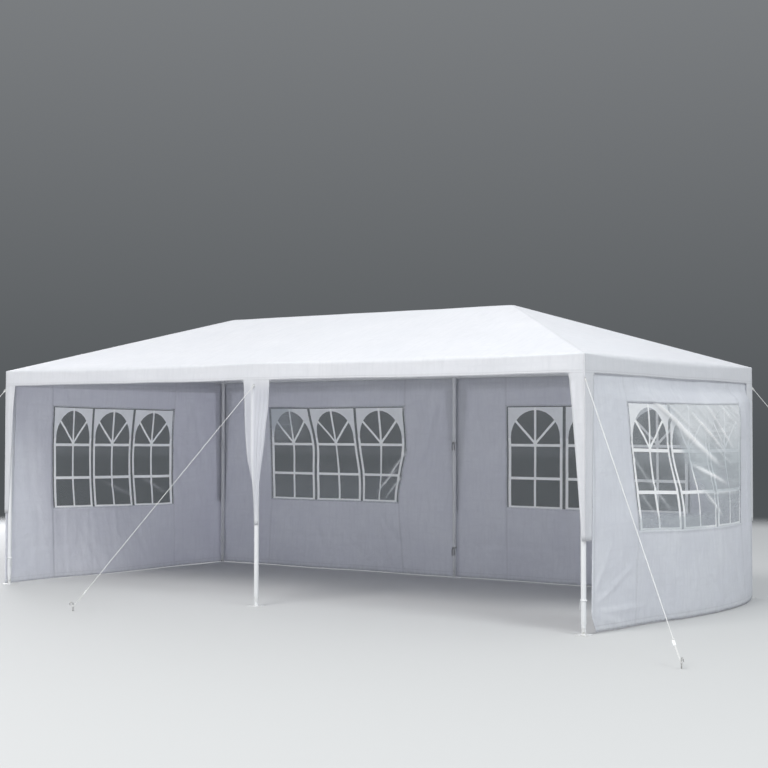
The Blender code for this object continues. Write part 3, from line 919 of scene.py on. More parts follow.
lay_out(bm, below)
sheets = nodes_named("roof_panel", "valance")
cover = add_piece("sewn_cover", bm, [COVER_CLOTH], sheets, crease=SHARPEST)
hems = cover.vertex_groups.new(name="hems")
for vert, depth in zip(cover.data.vertices, cover.data.attributes["below"].data):
    hemmed = -HEM - NEAR < depth.value < -HEM_STEP / 2
    hems.add([vert.index], 1.0 if hemmed else 0.5, "REPLACE")
thicken(cover, "cloth", 2 * SHEET, -1.0).vertex_group = "hems"

# Walls
# Four hung sheets of the same cloth: two end walls and the two halves of the back wall. Each is sewn from
# three strips, with a band over the window, and hemmed all round. They hang outside the legs, full of wind.

WALL_PITCH = 0.0185
WALL_SHEET = 0.0011
WALL_SEAM, SEAM_PROUD = 0.016, 0.0008
TOP_BAND, SIDE_HEM, BOTTOM_HEM = 0.06, 0.03, 0.045
HEM_EDGE = 0.0012
STITCH_IN = 0.003
UNDER_VALANCE, LOOSENS = 1.815, 0.12
HELD_BY_HEM = 0.16
OFF_GROUND = 0.004
# The right wall's lower front corner is blown along it: how far, and over what height and width.
BLOWN_ALONG, BLOWN_HEIGHT, BLOWN_WIDTH = 0.075, 0.17, 0.30
END_SEAM_AND_SHADOW_LEVEL = 1.822
WALL_COLOUR, WALL_DULL = (0.845, 0.868, 0.884), (0.79, 0.81, 0.84)
# Creases from its bag, along and up the wall: their pitch, their height and half their width.
BAG_CREASES, CREASE_HALF = ((0.3735, 0.0024), (0.335, 0.002)), 0.035
# Waves of wind: height, how many a metre along and up the wall, lean and seed.
WIND = ((0.012, 1.3, 0.9, 0.0, 0), (0.008, 4.4, 2.5, 0.6, 11), (0.003, 13.0, 2.2, 1.5, 5))
STILL, LOW, STILL_8, LOW_8 = (0,) * 6, (22,) * 6, (0,) * 8, (22,) * 8

# How each wall hangs. At a few places along it, and at a few heights, its cloth has moved along the wall, out
# from it and down, in millimetres, from where a flat wall would be.
HANG = {
    "end_right": (
        (-1.4957, -0.93, -0.62, -0.31, 0.31, 0.93, 1.2, 1.4914),
        {
            0.0: ((75, 95, 95, 80, 50, 50, 30, 0), (8, 60, 100, 160, 195, 150, 95, 0), LOW_8),
            0.7: (
                (92, 90, 85, 80, 50, 60, 40, 0), (8, 90, 112, 160, 175, 118, 80, 0),
                (0, 2, 10, 20, 28, 30, 15, 0),
            ),
            0.95: (
                (100, 80, 75, 75, 50, 65, 45, 0), (8, 75, 90, 138, 160, 115, 75, 0),
                (0, 0, 8, 18, 25, 25, 12, 0),
            ),
            1.27: (
                (95, 60, 60, 60, 50, 72, 50, 0), (6, 50, 52, 68, 98, 108, 70, 0),
                (0, 2, 8, 15, 22, 20, 10, 0),
            ),
            1.64: (
                (45, 40, 40, 40, 50, 85, 55, 0), (0, 28, 38, 50, 78, 92, 60, 0),
                (0, 18, 20, 22, 22, 10, 5, 0),
            ),
            1.8: ((20, 30, 30, 30, 40, 62, 40, 0), STILL_8, (0, 12, 16, 20, 20, 10, 5, 0)),
            1.93: ((0, 20, 20, 20, 30, 45, 28, 0), STILL_8, STILL_8),
        },
    ),
    "end_left": (
        (-1.4957, -0.93, -0.31, 0.31, 0.93, 1.4914),
        {
            0.0: ((0, 82, -40, -110, -170, 0), (0, 40, -35, -15, 12, 0), LOW),
            0.7: ((0, 25, -68, -136, -174, 0), (0, 10, 15, 20, 15, 0), (0, 18, 28, 38, 42, 0)),
            0.95: ((0, 22, -70, -137, -176, 0), (0, 20, 42, 48, 28, 0), (0, 10, 18, 24, 28, 0)),
            1.27: ((0, 18, -76, -138, -180, 0), (0, 20, 42, 48, 28, 0), (0, 4, 10, 14, 18, 0)),
            1.64: ((0, 14, -82, -134, -182, 0), (0, 2, 8, 10, 4, 0), (0, 3, 12, 15, 19, 0)),
            1.8: ((0, 14, -80, -130, -178, 0), STILL, (0, 2, 6, 8, 8, 0)),
            1.93: ((0, 14, -80, -130, -175, 0), STILL, STILL),
        },
    ),
    "back_left": (
        (-2.9957, -2.429, -1.809, -1.189, -0.569, -0.002),
        {
            0.0: ((0, 70, 60, 30, -45, 0), (0, 20, -15, 25, -12, 0), LOW),
            0.7: ((0, 119, 108, 54, -96, 0), (0, 4, -12, 12, -26, 0), (0, -8, -10, -12, -12, 0)),
            0.97: ((0, 112, 108, 39, -68, 0), (0, 10, -22, 25, -12, 0), (0, -2, -2, -2, -2, 0)),
            1.27: ((0, 98, 100, -9, -28, 0), (0, 16, -16, 22, 12, 0), (0, 6, 6, 6, 6, 0)),
            1.64: ((0, 89, -8, -40, -54, 0), (0, 8, -4, 8, 4, 0), (0, -4, -2, -4, -6, 0)),
            1.8: ((0, 70, -5, -30, -45, 0), STILL, STILL),
            1.93: ((0, 60, 0, -20, -35, 0), STILL, STILL),
        },
    ),
    "back_right": (
        (0.002, 0.569, 1.189, 1.809, 2.429, 2.9957),
        {
            0.0: (STILL, (0, 22, -12, 18, -14, 0), LOW),
            0.7: (STILL, (0, 10, -8, 10, -8, 0), STILL),
            1.27: (STILL, (0, 6, -6, 8, 5, 0), STILL),
            1.64: (STILL, (0, 3, 2, -4, 3, 0), STILL),
            1.8: (STILL, STILL, STILL),
            1.93: (STILL, STILL, STILL),
        },
    ),
}

# Folds that pull across each wall, in millimetres: both ends along it and up it, half width and height.
FOLDS_MM = {
    "end_right": (
        (-830, 1800, 570, 1130, 30, 17),
        (-620, 1790, 400, 1290, 18, 7),
        (-100, 1660, 680, 1240, 18, 10),
        (200, 1700, 840, 1260, 17, 10),
        (420, 1700, 930, 1440, 16, 8),
        (660, 1680, 990, 1510, 15, 7),
        (-520, 1670, -200, 1460, 15, 6),
        (60, 1680, 780, 1230, 11, 6),
        (310, 1690, 890, 1330, 10, 6),
        (540, 1690, 960, 1460, 10, 5),
        (770, 1690, 1020, 1560, 10, 5),
        (-300, 1680, 550, 1240, 10, 5),
        (220, 1420, 800, 1140, 10, 5),
        (-50, 1190, 620, 1010, 18, 9),
        (20, 1020, 440, 760, 18, 8),
        (-950, 1260, -620, 980, 15, 5),
        (-900, 1000, -600, 760, 15, 5),
        (-740, 1120, -420, 800, 15, 5),
        (-80, 960, 1020, 945, 14, 5),
        (-1520, 170, -800, 155, 18, 10),
        (-1520, 180, -980, 460, 18, 11),
        (-1520, 160, -1050, 40, 16, 7),
        (-1520, 190, -1250, 660, 18, 8),
        (-1440, 1800, -1220, 1100, 30, 7),
        (-1300, 1810, -980, 1300, 28, 6),
        (1050, 1720, 1220, 200, 40, 12),
        (300, 620, 950, 100, 45, 7),
        (-600, 600, -300, 60, 45, 6),
    ),
    "end_left": (
        (-1300, 1800, -1120, 400, 45, 7),
        (900, 1780, 1100, 600, 35, 12),
        (1150, 1800, 1320, 900, 30, 11),
        (-600, 620, -200, 80, 50, 8),
        (250, 600, 550, 60, 45, 9),
        (-200, 950, 350, 780, 18, 5),
        (400, 1000, 860, 800, 18, 6),
    ),
    "back_left": (
        (-520, 1270, -820, 840, 18, 9),
        (-600, 1060, -960, 760, 18, 9),
        (-500, 1020, -780, 700, 18, 8),
        (-300, 1800, -620, 1600, 24, 11),
        (-160, 1840, -420, 1020, 38, 16),
        (-70, 1800, -240, 1100, 26, 9),
        (-240, 1620, -500, 1300, 22, 8),
        (-2700, 1800, -2550, 900, 40, 7),
        (-1900, 600, -1600, 100, 45, 7),
        (-900, 600, -450, 200, 40, 8),
    ),
    "back_right": (
        (150, 1840, 400, 950, 35, 10),
        (60, 1800, 220, 1350, 24, 7),
        (2600, 1800, 2740, 700, 40, 7),
        (900, 620, 1200, 100, 45, 6),
        (2100, 600, 2450, 80, 45, 7),
    ),
}
FOLDS = {name: [[part / 1000 for part in fold] for fold in folds] for name, folds in FOLDS_MM.items()}


def wall_facts(name):
    """A wall's axis, its plane and the side it faces, its edges and its window, from the frame."""
    low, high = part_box("wall_" + name)
    pane_low, pane_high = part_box("window_film_" + name)
    axis = 1 if name.startswith("end") else 0
    plane = (low[1 - axis] + high[1 - axis]) / 2
    return {
        "name": name,
        "axis": axis,
        "plane": plane,
        "side": math.copysign(1, plane),
        "edges": (low[axis], high[axis]),
        "heights": (low.z, high.z),
        "window": (pane_low[axis], pane_high[axis], pane_low.z, pane_high.z),
        "seed": 10 * pane_low[axis] + 3 * pane_low[1 - axis],
    }


@lru_cache(maxsize=None)
def hung_column(name, s):
    """How one upright line of a wall hangs, at each of its heights."""
    places, levels = HANG[name]
    moves = [[between(s, places, part) for part in levels[height]] for height in sorted(levels)]
    return sorted(levels), list(zip(*moves))


def fold_height(name, s, z):
    """Height of the folds of a wall at a point, and the strongest share of a crest there, which sets the
    film's painted highlight.
    """
    total = strongest = 0.0
    for s0, z0, s1, z1, half, height in FOLDS[name]:
        length = math.hypot(s1 - s0, z1 - z0)
        share = ((s - s0) * (s1 - s0) + (z - z0) * (z1 - z0)) / length ** 2
        across = ((s - s0) * (z1 - z0) - (z - z0) * (s1 - s0)) / length
        if 0 < share < 1 and abs(across) < 3 * half:
            crest = math.sin(math.pi * share) ** 0.7 * math.exp(-((across / half) ** 2))
            total += height * crest
            strongest = max(strongest, crest * min(height / 0.009, 1.2))
    return total, strongest


def wall_point(facts, s, z, lift=0.0):
    """Place in the tent of a point of a wall's cut, lifted off the cloth's middle by a little."""
    name, seed = facts["name"], facts["seed"]
    levels, moves = hung_column(name, s)
    along_it, out, down = (between(z, levels, move) / 1000 for move in moves)
    first, last = facts["edges"]
    held = smooth_step(0, HELD_BY_HEM, s - first) * smooth_step(0, HELD_BY_HEM, last - s)
    hung = smooth_step(UNDER_VALANCE, UNDER_VALANCE - LOOSENS, z)
    waves = sum(
        high * ripple(s * by_s + lean * z, z * by_z, seed + more) for high, by_s, by_z, lean, more in WIND
    )
    for value, (pitch, proud) in zip((s - first, z), BAG_CREASES):
        line = round(value / pitch)
        waves += (proud if line % 2 else -proud) * max(1 - abs(value - line * pitch) / CREASE_HALF, 0)
    out = out * hung + waves * held * hung + fold_height(name, s, z)[0] * hung * held ** 0.5
    if name == "end_right":
        along_it += BLOWN_ALONG * smooth_step(BLOWN_HEIGHT, 0.0, z) * smooth_step(BLOWN_WIDTH, 0.0, s - first)
    place = Vector((0, 0, max(z - down, OFF_GROUND)))
    place[facts["axis"]] = s + along_it
    place[1 - facts["axis"]] = facts["plane"] + facts["side"] * (out + lift)
    return place


def is_sewn(facts, s, z):
    """True on a sewn seam or hem, where the cloth lies double."""
    (first, last), (low, high) = facts["edges"], facts["heights"]
    left, right, sill, head = facts["window"]
    if min(s - first, last - s) < SIDE_HEM or z - low < BOTTOM_HEM or high - z < TOP_BAND:
        return True
    upright = min(abs(s - left + WALL_SEAM / 2), abs(s - right - WALL_SEAM / 2))
    level = min(abs(z - head - WALL_SEAM / 2), abs(z - sill + WALL_SEAM / 2))
    return upright < WALL_SEAM * 0.55 or left < s < right and level < WALL_SEAM * 0.55


def hang_up(bm, facts):
    """Draws the flat map of a wall or its film, in metres along it from its window's middle and up."""
    flat = bm.loops.layers.uv.new("cut")
    middle = (facts["window"][0] + facts["window"][1]) / 2
    for face in bm.faces:
        for loop in face.loops:
            loop[flat].uv = (loop.vert.co.x - middle, loop.vert.co.y)
    if (facts["axis"] == 0) == (facts["plane"] > 0):
        bmesh.ops.reverse_faces(bm, faces=bm.faces)


def hemmed_lines(first, hem, left, right, last_hem, last):
    """Grid lines of a wall one way, with a narrow strip beside every hem and seam."""
    doubled = [first, first + hem, left - WALL_SEAM, left, right, right + WALL_SEAM, last - last_hem, last]
    beside = [first + hem + HEM_EDGE, left - WALL_SEAM - HEM_EDGE]
    beside += [right + WALL_SEAM + HEM_EDGE, last - last_hem - HEM_EDGE]
    return stops(sorted(doubled + beside), WALL_PITCH)


FACTS = {name: wall_facts(name) for name in HANG}
left, right, sill, head = FACTS["end_right"]["window"]
first, last = FACTS["end_right"]["edges"]
half_window = (right - left) / 2
sewn_rows = [
    ("upright", half_window + STITCH_IN),
    ("upright", half_window + WALL_SEAM - STITCH_IN),
    ("upright", (last - first) / 2 - SIDE_HEM + STITCH_IN),
    ("level", FACTS["end_right"]["heights"][0] + BOTTOM_HEM - STITCH_IN),
]
WALL_CLOTH = woven_sheet("wall_cloth", WALL_COLOUR, WALL_DULL, 0.5, 1.0, sewn_rows)
# The end walls get one more row of stitches below their top, whose dark line is painted shadow of the
# valance's lower edge showing through the cloth.
sewn_rows += [("level", END_SEAM_AND_SHADOW_LEVEL)]
END_CLOTH = woven_sheet("end_wall_cloth", WALL_COLOUR, WALL_DULL, 0.5, 1.0, sewn_rows)

WALLS = {}
for name, facts in FACTS.items():
    (first, last), (low, high) = facts["edges"], facts["heights"]
    left, right, sill, head = facts["window"]
    bm = grid_through(
        hemmed_lines(first, SIDE_HEM, left, right, SIDE_HEM, last),
        hemmed_lines(low, BOTTOM_HEM, sill, head, TOP_BAND, high),
    )
    opening = faces_at(bm.faces, lambda at: left < at.x < right and sill < at.y < head)
    bmesh.ops.delete(bm, geom=opening, context="FACES")
    hang_up(bm, facts)
    for vert in bm.verts:
        s, z = vert.co.xy
        vert.co = wall_point(facts, s, z, SEAM_PROUD if is_sewn(facts, s, z) else 0.0)
    cloth = END_CLOTH if facts["axis"] == 1 else WALL_CLOTH
    WALLS[name] = add_piece("hung_wall_" + name, bm, [cloth], ["wall_" + name], crease=SHARPEST)
    thicken(WALLS[name], "cloth", WALL_SHEET)

# Windows
# Clear soft film sewn into each wall. White frames are printed on it: three arches side by side, each with a
# transom, a lower bar, a mullion and a fan of two spokes, and a paler veil of white over the arches.

FILM_PITCH = 0.0135
# CREST_HIGHLIGHT is painted highlight: the white laid along the crests of the film's folds, where the glossy
# film would reflect the sky.
FILM_THIN, FILM_THICK, CREST_HIGHLIGHT = (0.50, 0.53, 0.56), (0.46, 0.495, 0.515), (0.96, 0.96, 0.97)
FILM_SHEET, FILM_OVERLAP, FILM_BACK = 0.0005, 0.012, -0.0012
ARCH_HALF, ARCH_SPRING, ARCH_STEPS = 0.2655, 0.064, 14
GAP_HALF = 0.0165
TRANSOM_BELOW_HEAD, LOWER_BAR_BELOW_HEAD, PRINT_BELOW_HEAD = 0.365, 0.675, 0.009
BAR, MULLION, SPOKE, SILL_BAR = 0.025, 0.023, 0.022, 0.016
HUB_UP, HUB_RADIUS, HUB_SIDES = 0.016, 0.021, 12
MILKY = {"end_right": 0.16, "end_left": 0.06, "back_left": 0.07, "back_right": 0.04}
# A dusty band under the transom, how much milkier the crests of folds get as part of their painted highlight,
# and how milky a film gets at most.
DUSTY, DUSTY_BELOW_TRANSOM, DUSTY_HALF = 0.08, 0.06, 0.07
CREST_HIGHLIGHT_MILK, MOST_MILKY = 0.6, 0.97
# Milky patches: how much each adds, and where across and up the window each starts and is full, as shares.
ALL_ACROSS = (-2, -1)
PATCHES = {
    "end_right": [(0.30, (0.7, 0.5), (0.15, 0.08))],
    "back_left": [(0.38, (0.34, 0.12), (0.55, 0.85)), (0.10, ALL_ACROSS, (0.45, 0.1))],
}
# The right film is creased and milky beyond a leaning line, and painted highlight spreads over it towards its
# head.
CREASED, LINE_LEANS, LINE_TURNS_AT = (0.36, 0.56), 0.30, 0.6
CREASED_MILK, UPPER_MILK, UPPER = 0.26, 0.30, (0.12, 0.45)
CREASED_HIGHLIGHT, TOWARDS_HEAD = 0.42, (0.5, 0.85)

# Long pale streaks down across the film, where it has been stretched and scuffed.
STREAKS, given, end = new_group("streaks", ("Vector",), ("Mask",))
slant = {"Rotation": (0, 0, math.radians(32)), "Scale": (1.1, 10.0, 1.0)}
slanted = add_node(STREAKS, "Mapping", Vector=given["Vector"], **slant).outputs["Vector"]
scuffs = add_node(STREAKS, "TexNoise", Vector=slanted, Scale=2.2, Detail=5.0, Roughness=0.62)
feed(STREAKS, end, {"Mask": ranged(STREAKS, scuffs.outputs["Fac"], 0.50, 0.74)})

CLEAR_FILM, tree, shader, place = new_material("clear_film", (0.70, 0.73, 0.77), 0.16)
cut = flat_map(tree)
milky = attribute(tree, "milky")
veiled = math_of(tree, "MULTIPLY", milky, clouds(tree, place, 2.6, 0.75, 1.25))
scuffed = math_of(tree, "MULTIPLY", use_group(tree, STREAKS, Vector=cut)[0], milky)
share = math_of(tree, "MULTIPLY_ADD", scuffed, 0.5, veiled, clamp=True)
dusty = mixed(tree, share, FILM_THIN, FILM_THICK)
feed(tree, shader, {
    "Alpha": share,
    # Painted highlight: the film turns white along the crests of its folds.
    "Base_Color": mixed(tree, attribute(tree, "crest"), dusty, CREST_HIGHLIGHT),
    "Roughness": clouds(tree, place, 6.0, 0.10, 0.30),
    "Normal": bumped(tree, use_group(tree, CRUMPLE, Vector=cut, Scale=9.0)[0], 0.4, 0.004),
})


def milkiness(facts, s, z):
    """How milky the film is at a point, and how much painted highlight the crest of a fold gets there."""
    name = facts["name"]
    left, right, sill, head = facts["window"]
    share, up = (s - left) / (right - left), (z - sill) / (head - sill)
    base = MILKY[name] + DUSTY * swell(z, head - TRANSOM_BELOW_HEAD - DUSTY_BELOW_TRANSOM, DUSTY_HALF)
    crest = min(fold_height(name, s, z)[1], 1.0) ** 1.6
    if name == "end_right":
        creased = smooth_step(*CREASED, share + LINE_LEANS * (up - LINE_TURNS_AT))
        base += creased * (CREASED_MILK + UPPER_MILK * smooth_step(*UPPER, up))
        crest = max(crest, CREASED_HIGHLIGHT * creased * smooth_step(*TOWARDS_HEAD, up))
    for amount, across, upward in PATCHES.get(name, ()):
        base += amount * smooth_step(*across, share) * smooth_step(*upward, up)
    return min(base + CREST_HIGHLIGHT_MILK * crest, MOST_MILKY), crest


def printed_white(name, colour, alpha):
    """White ink on the film, a little uneven and slightly see-through where it is thin."""
    material, tree, shader, place = new_material(name, colour, 0.45)
    uneven = mixed(tree, clouds(tree, place, 14.0, 0.0, 0.5), colour, shaded(colour, 0.93))
    hidden = mixed(tree, ranged(tree, attribute(tree, "milky"), 0.28, 0.55, 0.0, 0.93), uneven, FILM_THICK)
    feed(tree, shader, {
        "Subsurface_Weight": 1.0,
        "Subsurface_Radius": (0.95, 0.97, 1.0),
        "Subsurface_Scale": 0.0012,
        # Painted highlight along the crests of folds, on the ink as on the film.
        "Base_Color": mixed(tree, attribute(tree, "crest"), hidden, CREST_HIGHLIGHT),
        "Alpha": clouds(tree, place, 5.0, alpha - 0.05, min(alpha + 0.05, 1.0)),
    })
    return material


BAR_INK = printed_white("printed_bars", (0.90, 0.91, 0.92), 1.0)
VEIL_INK = printed_white("printed_veil", (0.84, 0.855, 0.88), 0.88)


def draw_out(bm, edges, by):
    """Draws edges out into a strip of faces; gives back its new vertices and edges."""
    raised = bmesh.ops.extrude_edge_only(bm, edges=edges)["geom"]
    made = only(BMVert, raised)
    bmesh.ops.translate(bm, verts=made, vec=by)
    return made, [edge for edge in only(BMEdge, raised) if set(made).issuperset(edge.verts)]


def printed_bay(width, sill, head):
    """One arched light of a window, flat, with its middle at X 0 and heights along Y: film, bars and veil."""
    transom, lower = head - TRANSOM_BELOW_HEAD, head - LOWER_BAR_BELOW_HEAD
    spring, top = transom + ARCH_SPRING, head - PRINT_BELOW_HEAD
    half = width / 2
    low, high = sill - FILM_OVERLAP, head + FILM_OVERLAP
    bm = bmesh.new()
    corners = [bm.verts.new((x, y, 0)) for x, y in ((-half, low), (half, low), (half, high), (-half, high))]
    inside = [bm.faces.new(corners)]

    def keep_behind(faces, point, normal):
        return cut_faces(bm, faces, Vector(point), Vector(normal))[0]

    def split(faces, point, normal):
        behind, before = cut_faces(bm, faces, Vector(point), Vector(normal))
        return behind + before

    def keep_round(faces, middle, radius, sides):
        for step in range(sides):
            angle = math.tau * (step + 0.5) / sides
            normal = Vector((math.cos(angle), math.sin(angle), 0))
            if radius < ARCH_HALF or normal.y > 0:
                faces = keep_behind(faces, middle + normal * radius * math.cos(math.pi / sides / 2), normal)
        return faces

    inside = keep_behind(keep_behind(inside, (0, sill, 0), (0, -1, 0)), (0, top, 0), (0, 1, 0))
    inside = split(inside, (0, sill + SILL_BAR, 0), (0, 1, 0))
    for edge in (half - GAP_HALF, ARCH_HALF):
        for side in (-1, 1):
            inside = keep_behind(inside, (side * edge, 0, 0), (side, 0, 0))
    inside = keep_round(inside, Vector((0, spring, 0)), ARCH_HALF, 2 * ARCH_STEPS)
    for side in (-1, 1):
        inside = split(inside, (side * MULLION / 2, 0, 0), (1, 0, 0))
        for middle in (transom, lower):
            inside = split(inside, (0, middle + side * BAR / 2, 0), (0, 1, 0))
    hub = Vector((0, transom + HUB_UP, 0))
    for lean in (-1, 1):
        spoke = Vector((lean, 1, 0)).normalized()
        across = Vector((spoke.y, -spoke.x, 0))
        fan = faces_at(inside, lambda at: at.y > transom + BAR / 2 and at.x * lean > MULLION / 2)
        rest = [face for face in inside if face not in fan]
        for side in (-1, 1):
            fan = split(fan, hub + across * side * SPOKE / 2, across)
        inside = rest + fan
    keep_round(faces_at(inside, lambda at: abs(at.y - hub.y) < 0.1), hub, HUB_RADIUS, HUB_SIDES)
    for axis, marks in ((0, (-half, half)), (1, (low, high))):
        normal = Vector((1 - axis, axis, 0))
        for place in stops(marks, FILM_PITCH)[1:-1]:
            whole = bm.verts[:] + bm.edges[:] + bm.faces[:]
            bmesh.ops.bisect_plane(bm, geom=whole, dist=1e-6, plane_co=normal * place, plane_no=normal)
    for face in bm.faces:
        middle = face.calc_center_median()
        x, y = abs(middle.x), middle.y
        printed = sill < y < top and x < half - GAP_HALF
        within = x < ARCH_HALF and (y < spring or math.hypot(x, y - spring) < ARCH_HALF)
        on_spoke = y > transom and abs(y - hub.y - x) / math.sqrt(2) < SPOKE / 2
        on_bar = min(abs(y - transom), abs(y - lower)) < BAR / 2 or y < sill + SILL_BAR
        on_hub = (middle - hub).length < HUB_RADIUS
        on_frame = within and (on_spoke or on_hub) or not within and y < spring
        if printed and (x < MULLION / 2 or on_bar or on_frame):
            face.material_index = 1
        elif printed and not within:
            face.material_index = 2
    return bm


def printed_window(width, sill, head):
    """Three printed lights side by side with the film's border all round, flat, as a mesh."""
    bay = printed_bay(width / 3, sill, head)
    data = bpy.data.meshes.new("window")
    bay.to_mesh(data)
    bay.clear()
    data.transform(Matrix.Translation((-width / 3, 0, 0)))
    for count in range(3):
        bay.from_mesh(data)
        data.transform(Matrix.Translation((width / 3, 0, 0)))
    bmesh.ops.remove_doubles(bay, verts=bay.verts, dist=1e-5)
    for side in (-1, 1):
        at_rim = {vert for vert in bay.verts if abs(vert.co.x - side * width / 2) < 1e-5}
        rim = [edge for edge in bay.edges if at_rim.issuperset(edge.verts)]
        draw_out(bay, rim, (side * FILM_OVERLAP, 0, 0))
    bmesh.ops.recalc_face_normals(bay, faces=bay.faces)
    for face in bay.faces:
        if abs(face.calc_center_median().x) > width / 2:
            face.material_index = 0
    bay.to_mesh(data)
    bay.free()
    return data


left, right, sill, head = FACTS["end_right"]["window"]
window = printed_window(right - left, sill, head)
PANES = {}
for name, facts in FACTS.items():
    bm = bmesh.new()
    bm.from_mesh(window)
    bmesh.ops.translate(bm, verts=bm.verts, vec=((facts["window"][0] + facts["window"][1]) / 2, 0, 0))
    hang_up(bm, facts)
    milky, crest = bm.verts.layers.float.new("milky"), bm.verts.layers.float.new("crest")
    for vert in bm.verts:
        s, z = vert.co.xy
        vert[milky], vert[crest] = milkiness(facts, s, z)
        vert.co = wall_point(facts, s, z, FILM_BACK)
    inks = [CLEAR_FILM, BAR_INK, VEIL_INK]
    PANES[name] = add_piece("film_" + name, bm, inks, ["window_film_" + name], crease=SHARPEST)
    thicken(PANES[name], "film", FILM_SHEET)

# Ribbon ties and rail loops
# Narrow tape of the same cloth. A tie is sewn to each side hem at two heights and knotted round the leg, and
# short loops carry the wall's top edge on the eave rail.

RIBBON_HALF, RIBBON_CLEARANCE, RIBBON_THICK = 0.006, 0.0007, 0.0007
TIE_HEIGHTS, BACK_TIES_HIGHER = (1.25, 0.24), 0.05
KNOT_RADIUS, KNOT_OUT = 0.0055, 0.003
TAIL, TAIL_STEPS = 0.075, 5
LOOPS = 7
BESIDE = 0.1

RIBBON, tree, shader, place = new_material("ribbon", (0.8, 0.81, 0.82), 0.6)
bands = {"wave_type": "BANDS", "bands_direction": "DIAGONAL"}
rib = add_node(tree, "TexWave", bands, Vector=place, Scale=260.0).outputs["Fac"]
feed(tree, shader, {
    "Base_Color": mixed(tree, clouds(tree, place, 22.0, 0.0, 0.7), (0.82, 0.83, 0.84), (0.70, 0.71, 0.72)),
    "Normal": bumped(tree, rib, 0.5, 0.0004),
})


def add_band(bm, centre, axis, radius, towards, reach):
    """Ribbon round a tube, drawn out to a point on the side of the cloth that it is sewn to."""
    place = along(centre - axis * RIBBON_HALF, centre)
    ring = bmesh.ops.create_circle(bm, cap_ends=False, segments=20, radius=radius, matrix=place)["verts"]
    for vert in ring:
        sideways = (vert.co - centre).dot(towards)
        if sideways > radius * 0.93:
            vert.co += towards * (reach - sideways)
    edges = list(dict.fromkeys(edge for vert in ring for edge in vert.link_edges))
    draw_out(bm, edges, axis * 2 * RIBBON_HALF)


def add_tails(bm, start, aside):
    """Two short ribbon ends that hang from a knot."""
    for side in (-1, 1):
        pair = [bm.verts.new(start + aside * side * across) for across in (KNOT_OUT, KNOT_OUT + RIBBON_HALF)]
        edges = [bm.edges.new(pair)]
        for step in range(TAIL_STEPS):
            fall = aside * side * (0.004 - 0.0016 * step) - UP * TAIL / TAIL_STEPS
            edges = draw_out(bm, edges, fall)[1]


for name, facts in FACTS.items():
    axis, plane, (first, last) = facts["axis"], facts["plane"], facts["edges"]
    outward, aside = Vector(), Vector()
    outward[1 - axis], aside[axis] = facts["side"], 1
    bm = bmesh.new()
    for x, y, top, radius in LEGS.values():
        at, off = (x, y)[axis], abs((x, y)[1 - axis] - plane)
        if off > BESIDE or min(abs(at - first), abs(at - last)) > BESIDE:
            continue
        for height in TIE_HEIGHTS:
            centre = Vector((x, y, height + BACK_TIES_HIGHER * (axis == 0)))
            add_band(bm, centre, UP, radius + RIBBON_CLEARANCE, outward, off - WALL_SHEET)
            knot = centre - outward * (radius + KNOT_OUT)
            bead = bmesh.ops.create_uvsphere(bm, u_segments=10, v_segments=6, radius=KNOT_RADIUS)["verts"]
            bmesh.ops.translate(bm, verts=bead, vec=knot)
            add_tails(bm, knot, aside)
    for node, (start, end, radius) in RODS.items():
        off = abs(start[1 - axis] - plane)
        if "rail" not in node or max(off, abs(end[1 - axis] - plane)) > BESIDE:
            continue
        if first < (start[axis] + end[axis]) / 2 < last:
            for count in range(LOOPS):
                centre, way = start.lerp(end, (count + 0.5) / LOOPS), (end - start).normalized()
                add_band(bm, centre, way, radius + RIBBON_CLEARANCE, outward, off - WALL_SHEET)
    ties = add_piece("ties_" + name, bm, [RIBBON], crease=50.0)
    thicken(ties, "ribbon", RIBBON_THICK)
    width, height = last - first, facts["heights"][1] - facts["heights"][0]
    left, right, sill, head = facts["window"]

# Guys
# Six taut ropes of three laid strands, 6 mm thick. Each is tied to a steel ring through the cover and runs to
# a bent steel peg in the ground, with a slide that doubles its last stretch.

ROPE_LAY, STEPS_A_LAY, ROPE_POINTS = 0.024, 6, 9
RING_RADIUS, RING_HALF, RING_DOWN = 0.0085, 0.0018, 0.003
SLIDE_UP, SLIDE_ROUND = 0.16, 0.003
SLIDE_LENGTH, SLIDE_WIDTH, SLIDE_DEPTH = 0.036, 0.020, 0.008
WRAP_PITCH, TIE_DOWN, WRAP_ABOVE_SLIDE = 0.0056, 0.012, 0.004
# In radii of the rope: how far out the wraps and the doubled stretch lie, and how thick they are.
WRAP_OUT, WRAP_THICK = 1.25, 0.85
DOUBLED_AT_SLIDE, DOUBLED_AT_PEG, DOUBLED_THICK = 2.4, 1.1, 0.9
NOOSE_THICK = 0.9
HOOK_RADIUS, HOOK_STEPS, PIN_SIDES = 0.012, 14, 14
STAKE_STEEL = bright_steel("stake_zinc", (0.58, 0.58, 0.57), 0.3)
ROPE_COLOUR = (0.76, 0.765, 0.76)

# Soft spun strands, a little grubby.
ROPE_FIBRE, tree, shader, place = new_material("rope_fibre", ROPE_COLOUR, 0.8)
hairs = add_node(tree, "TexNoise", Vector=place, Scale=900.0, Detail=3.0).outputs["Fac"]
feed(tree, shader, {
    "Sheen_Weight": 0.3,
    "Base_Color": mixed(tree, clouds(tree, place, 18.0, 0.0, 0.5), ROPE_COLOUR, (0.62, 0.62, 0.60)),
    "Normal": bumped(tree, hairs, 0.5, 0.0008),
})
SLIDE_PLASTIC, tree, shader, place = new_material("slide_plastic", (0.82, 0.83, 0.83), 0.35)
feed(tree, shader, {"Roughness": clouds(tree, place, 120.0, 0.25, 0.55)})


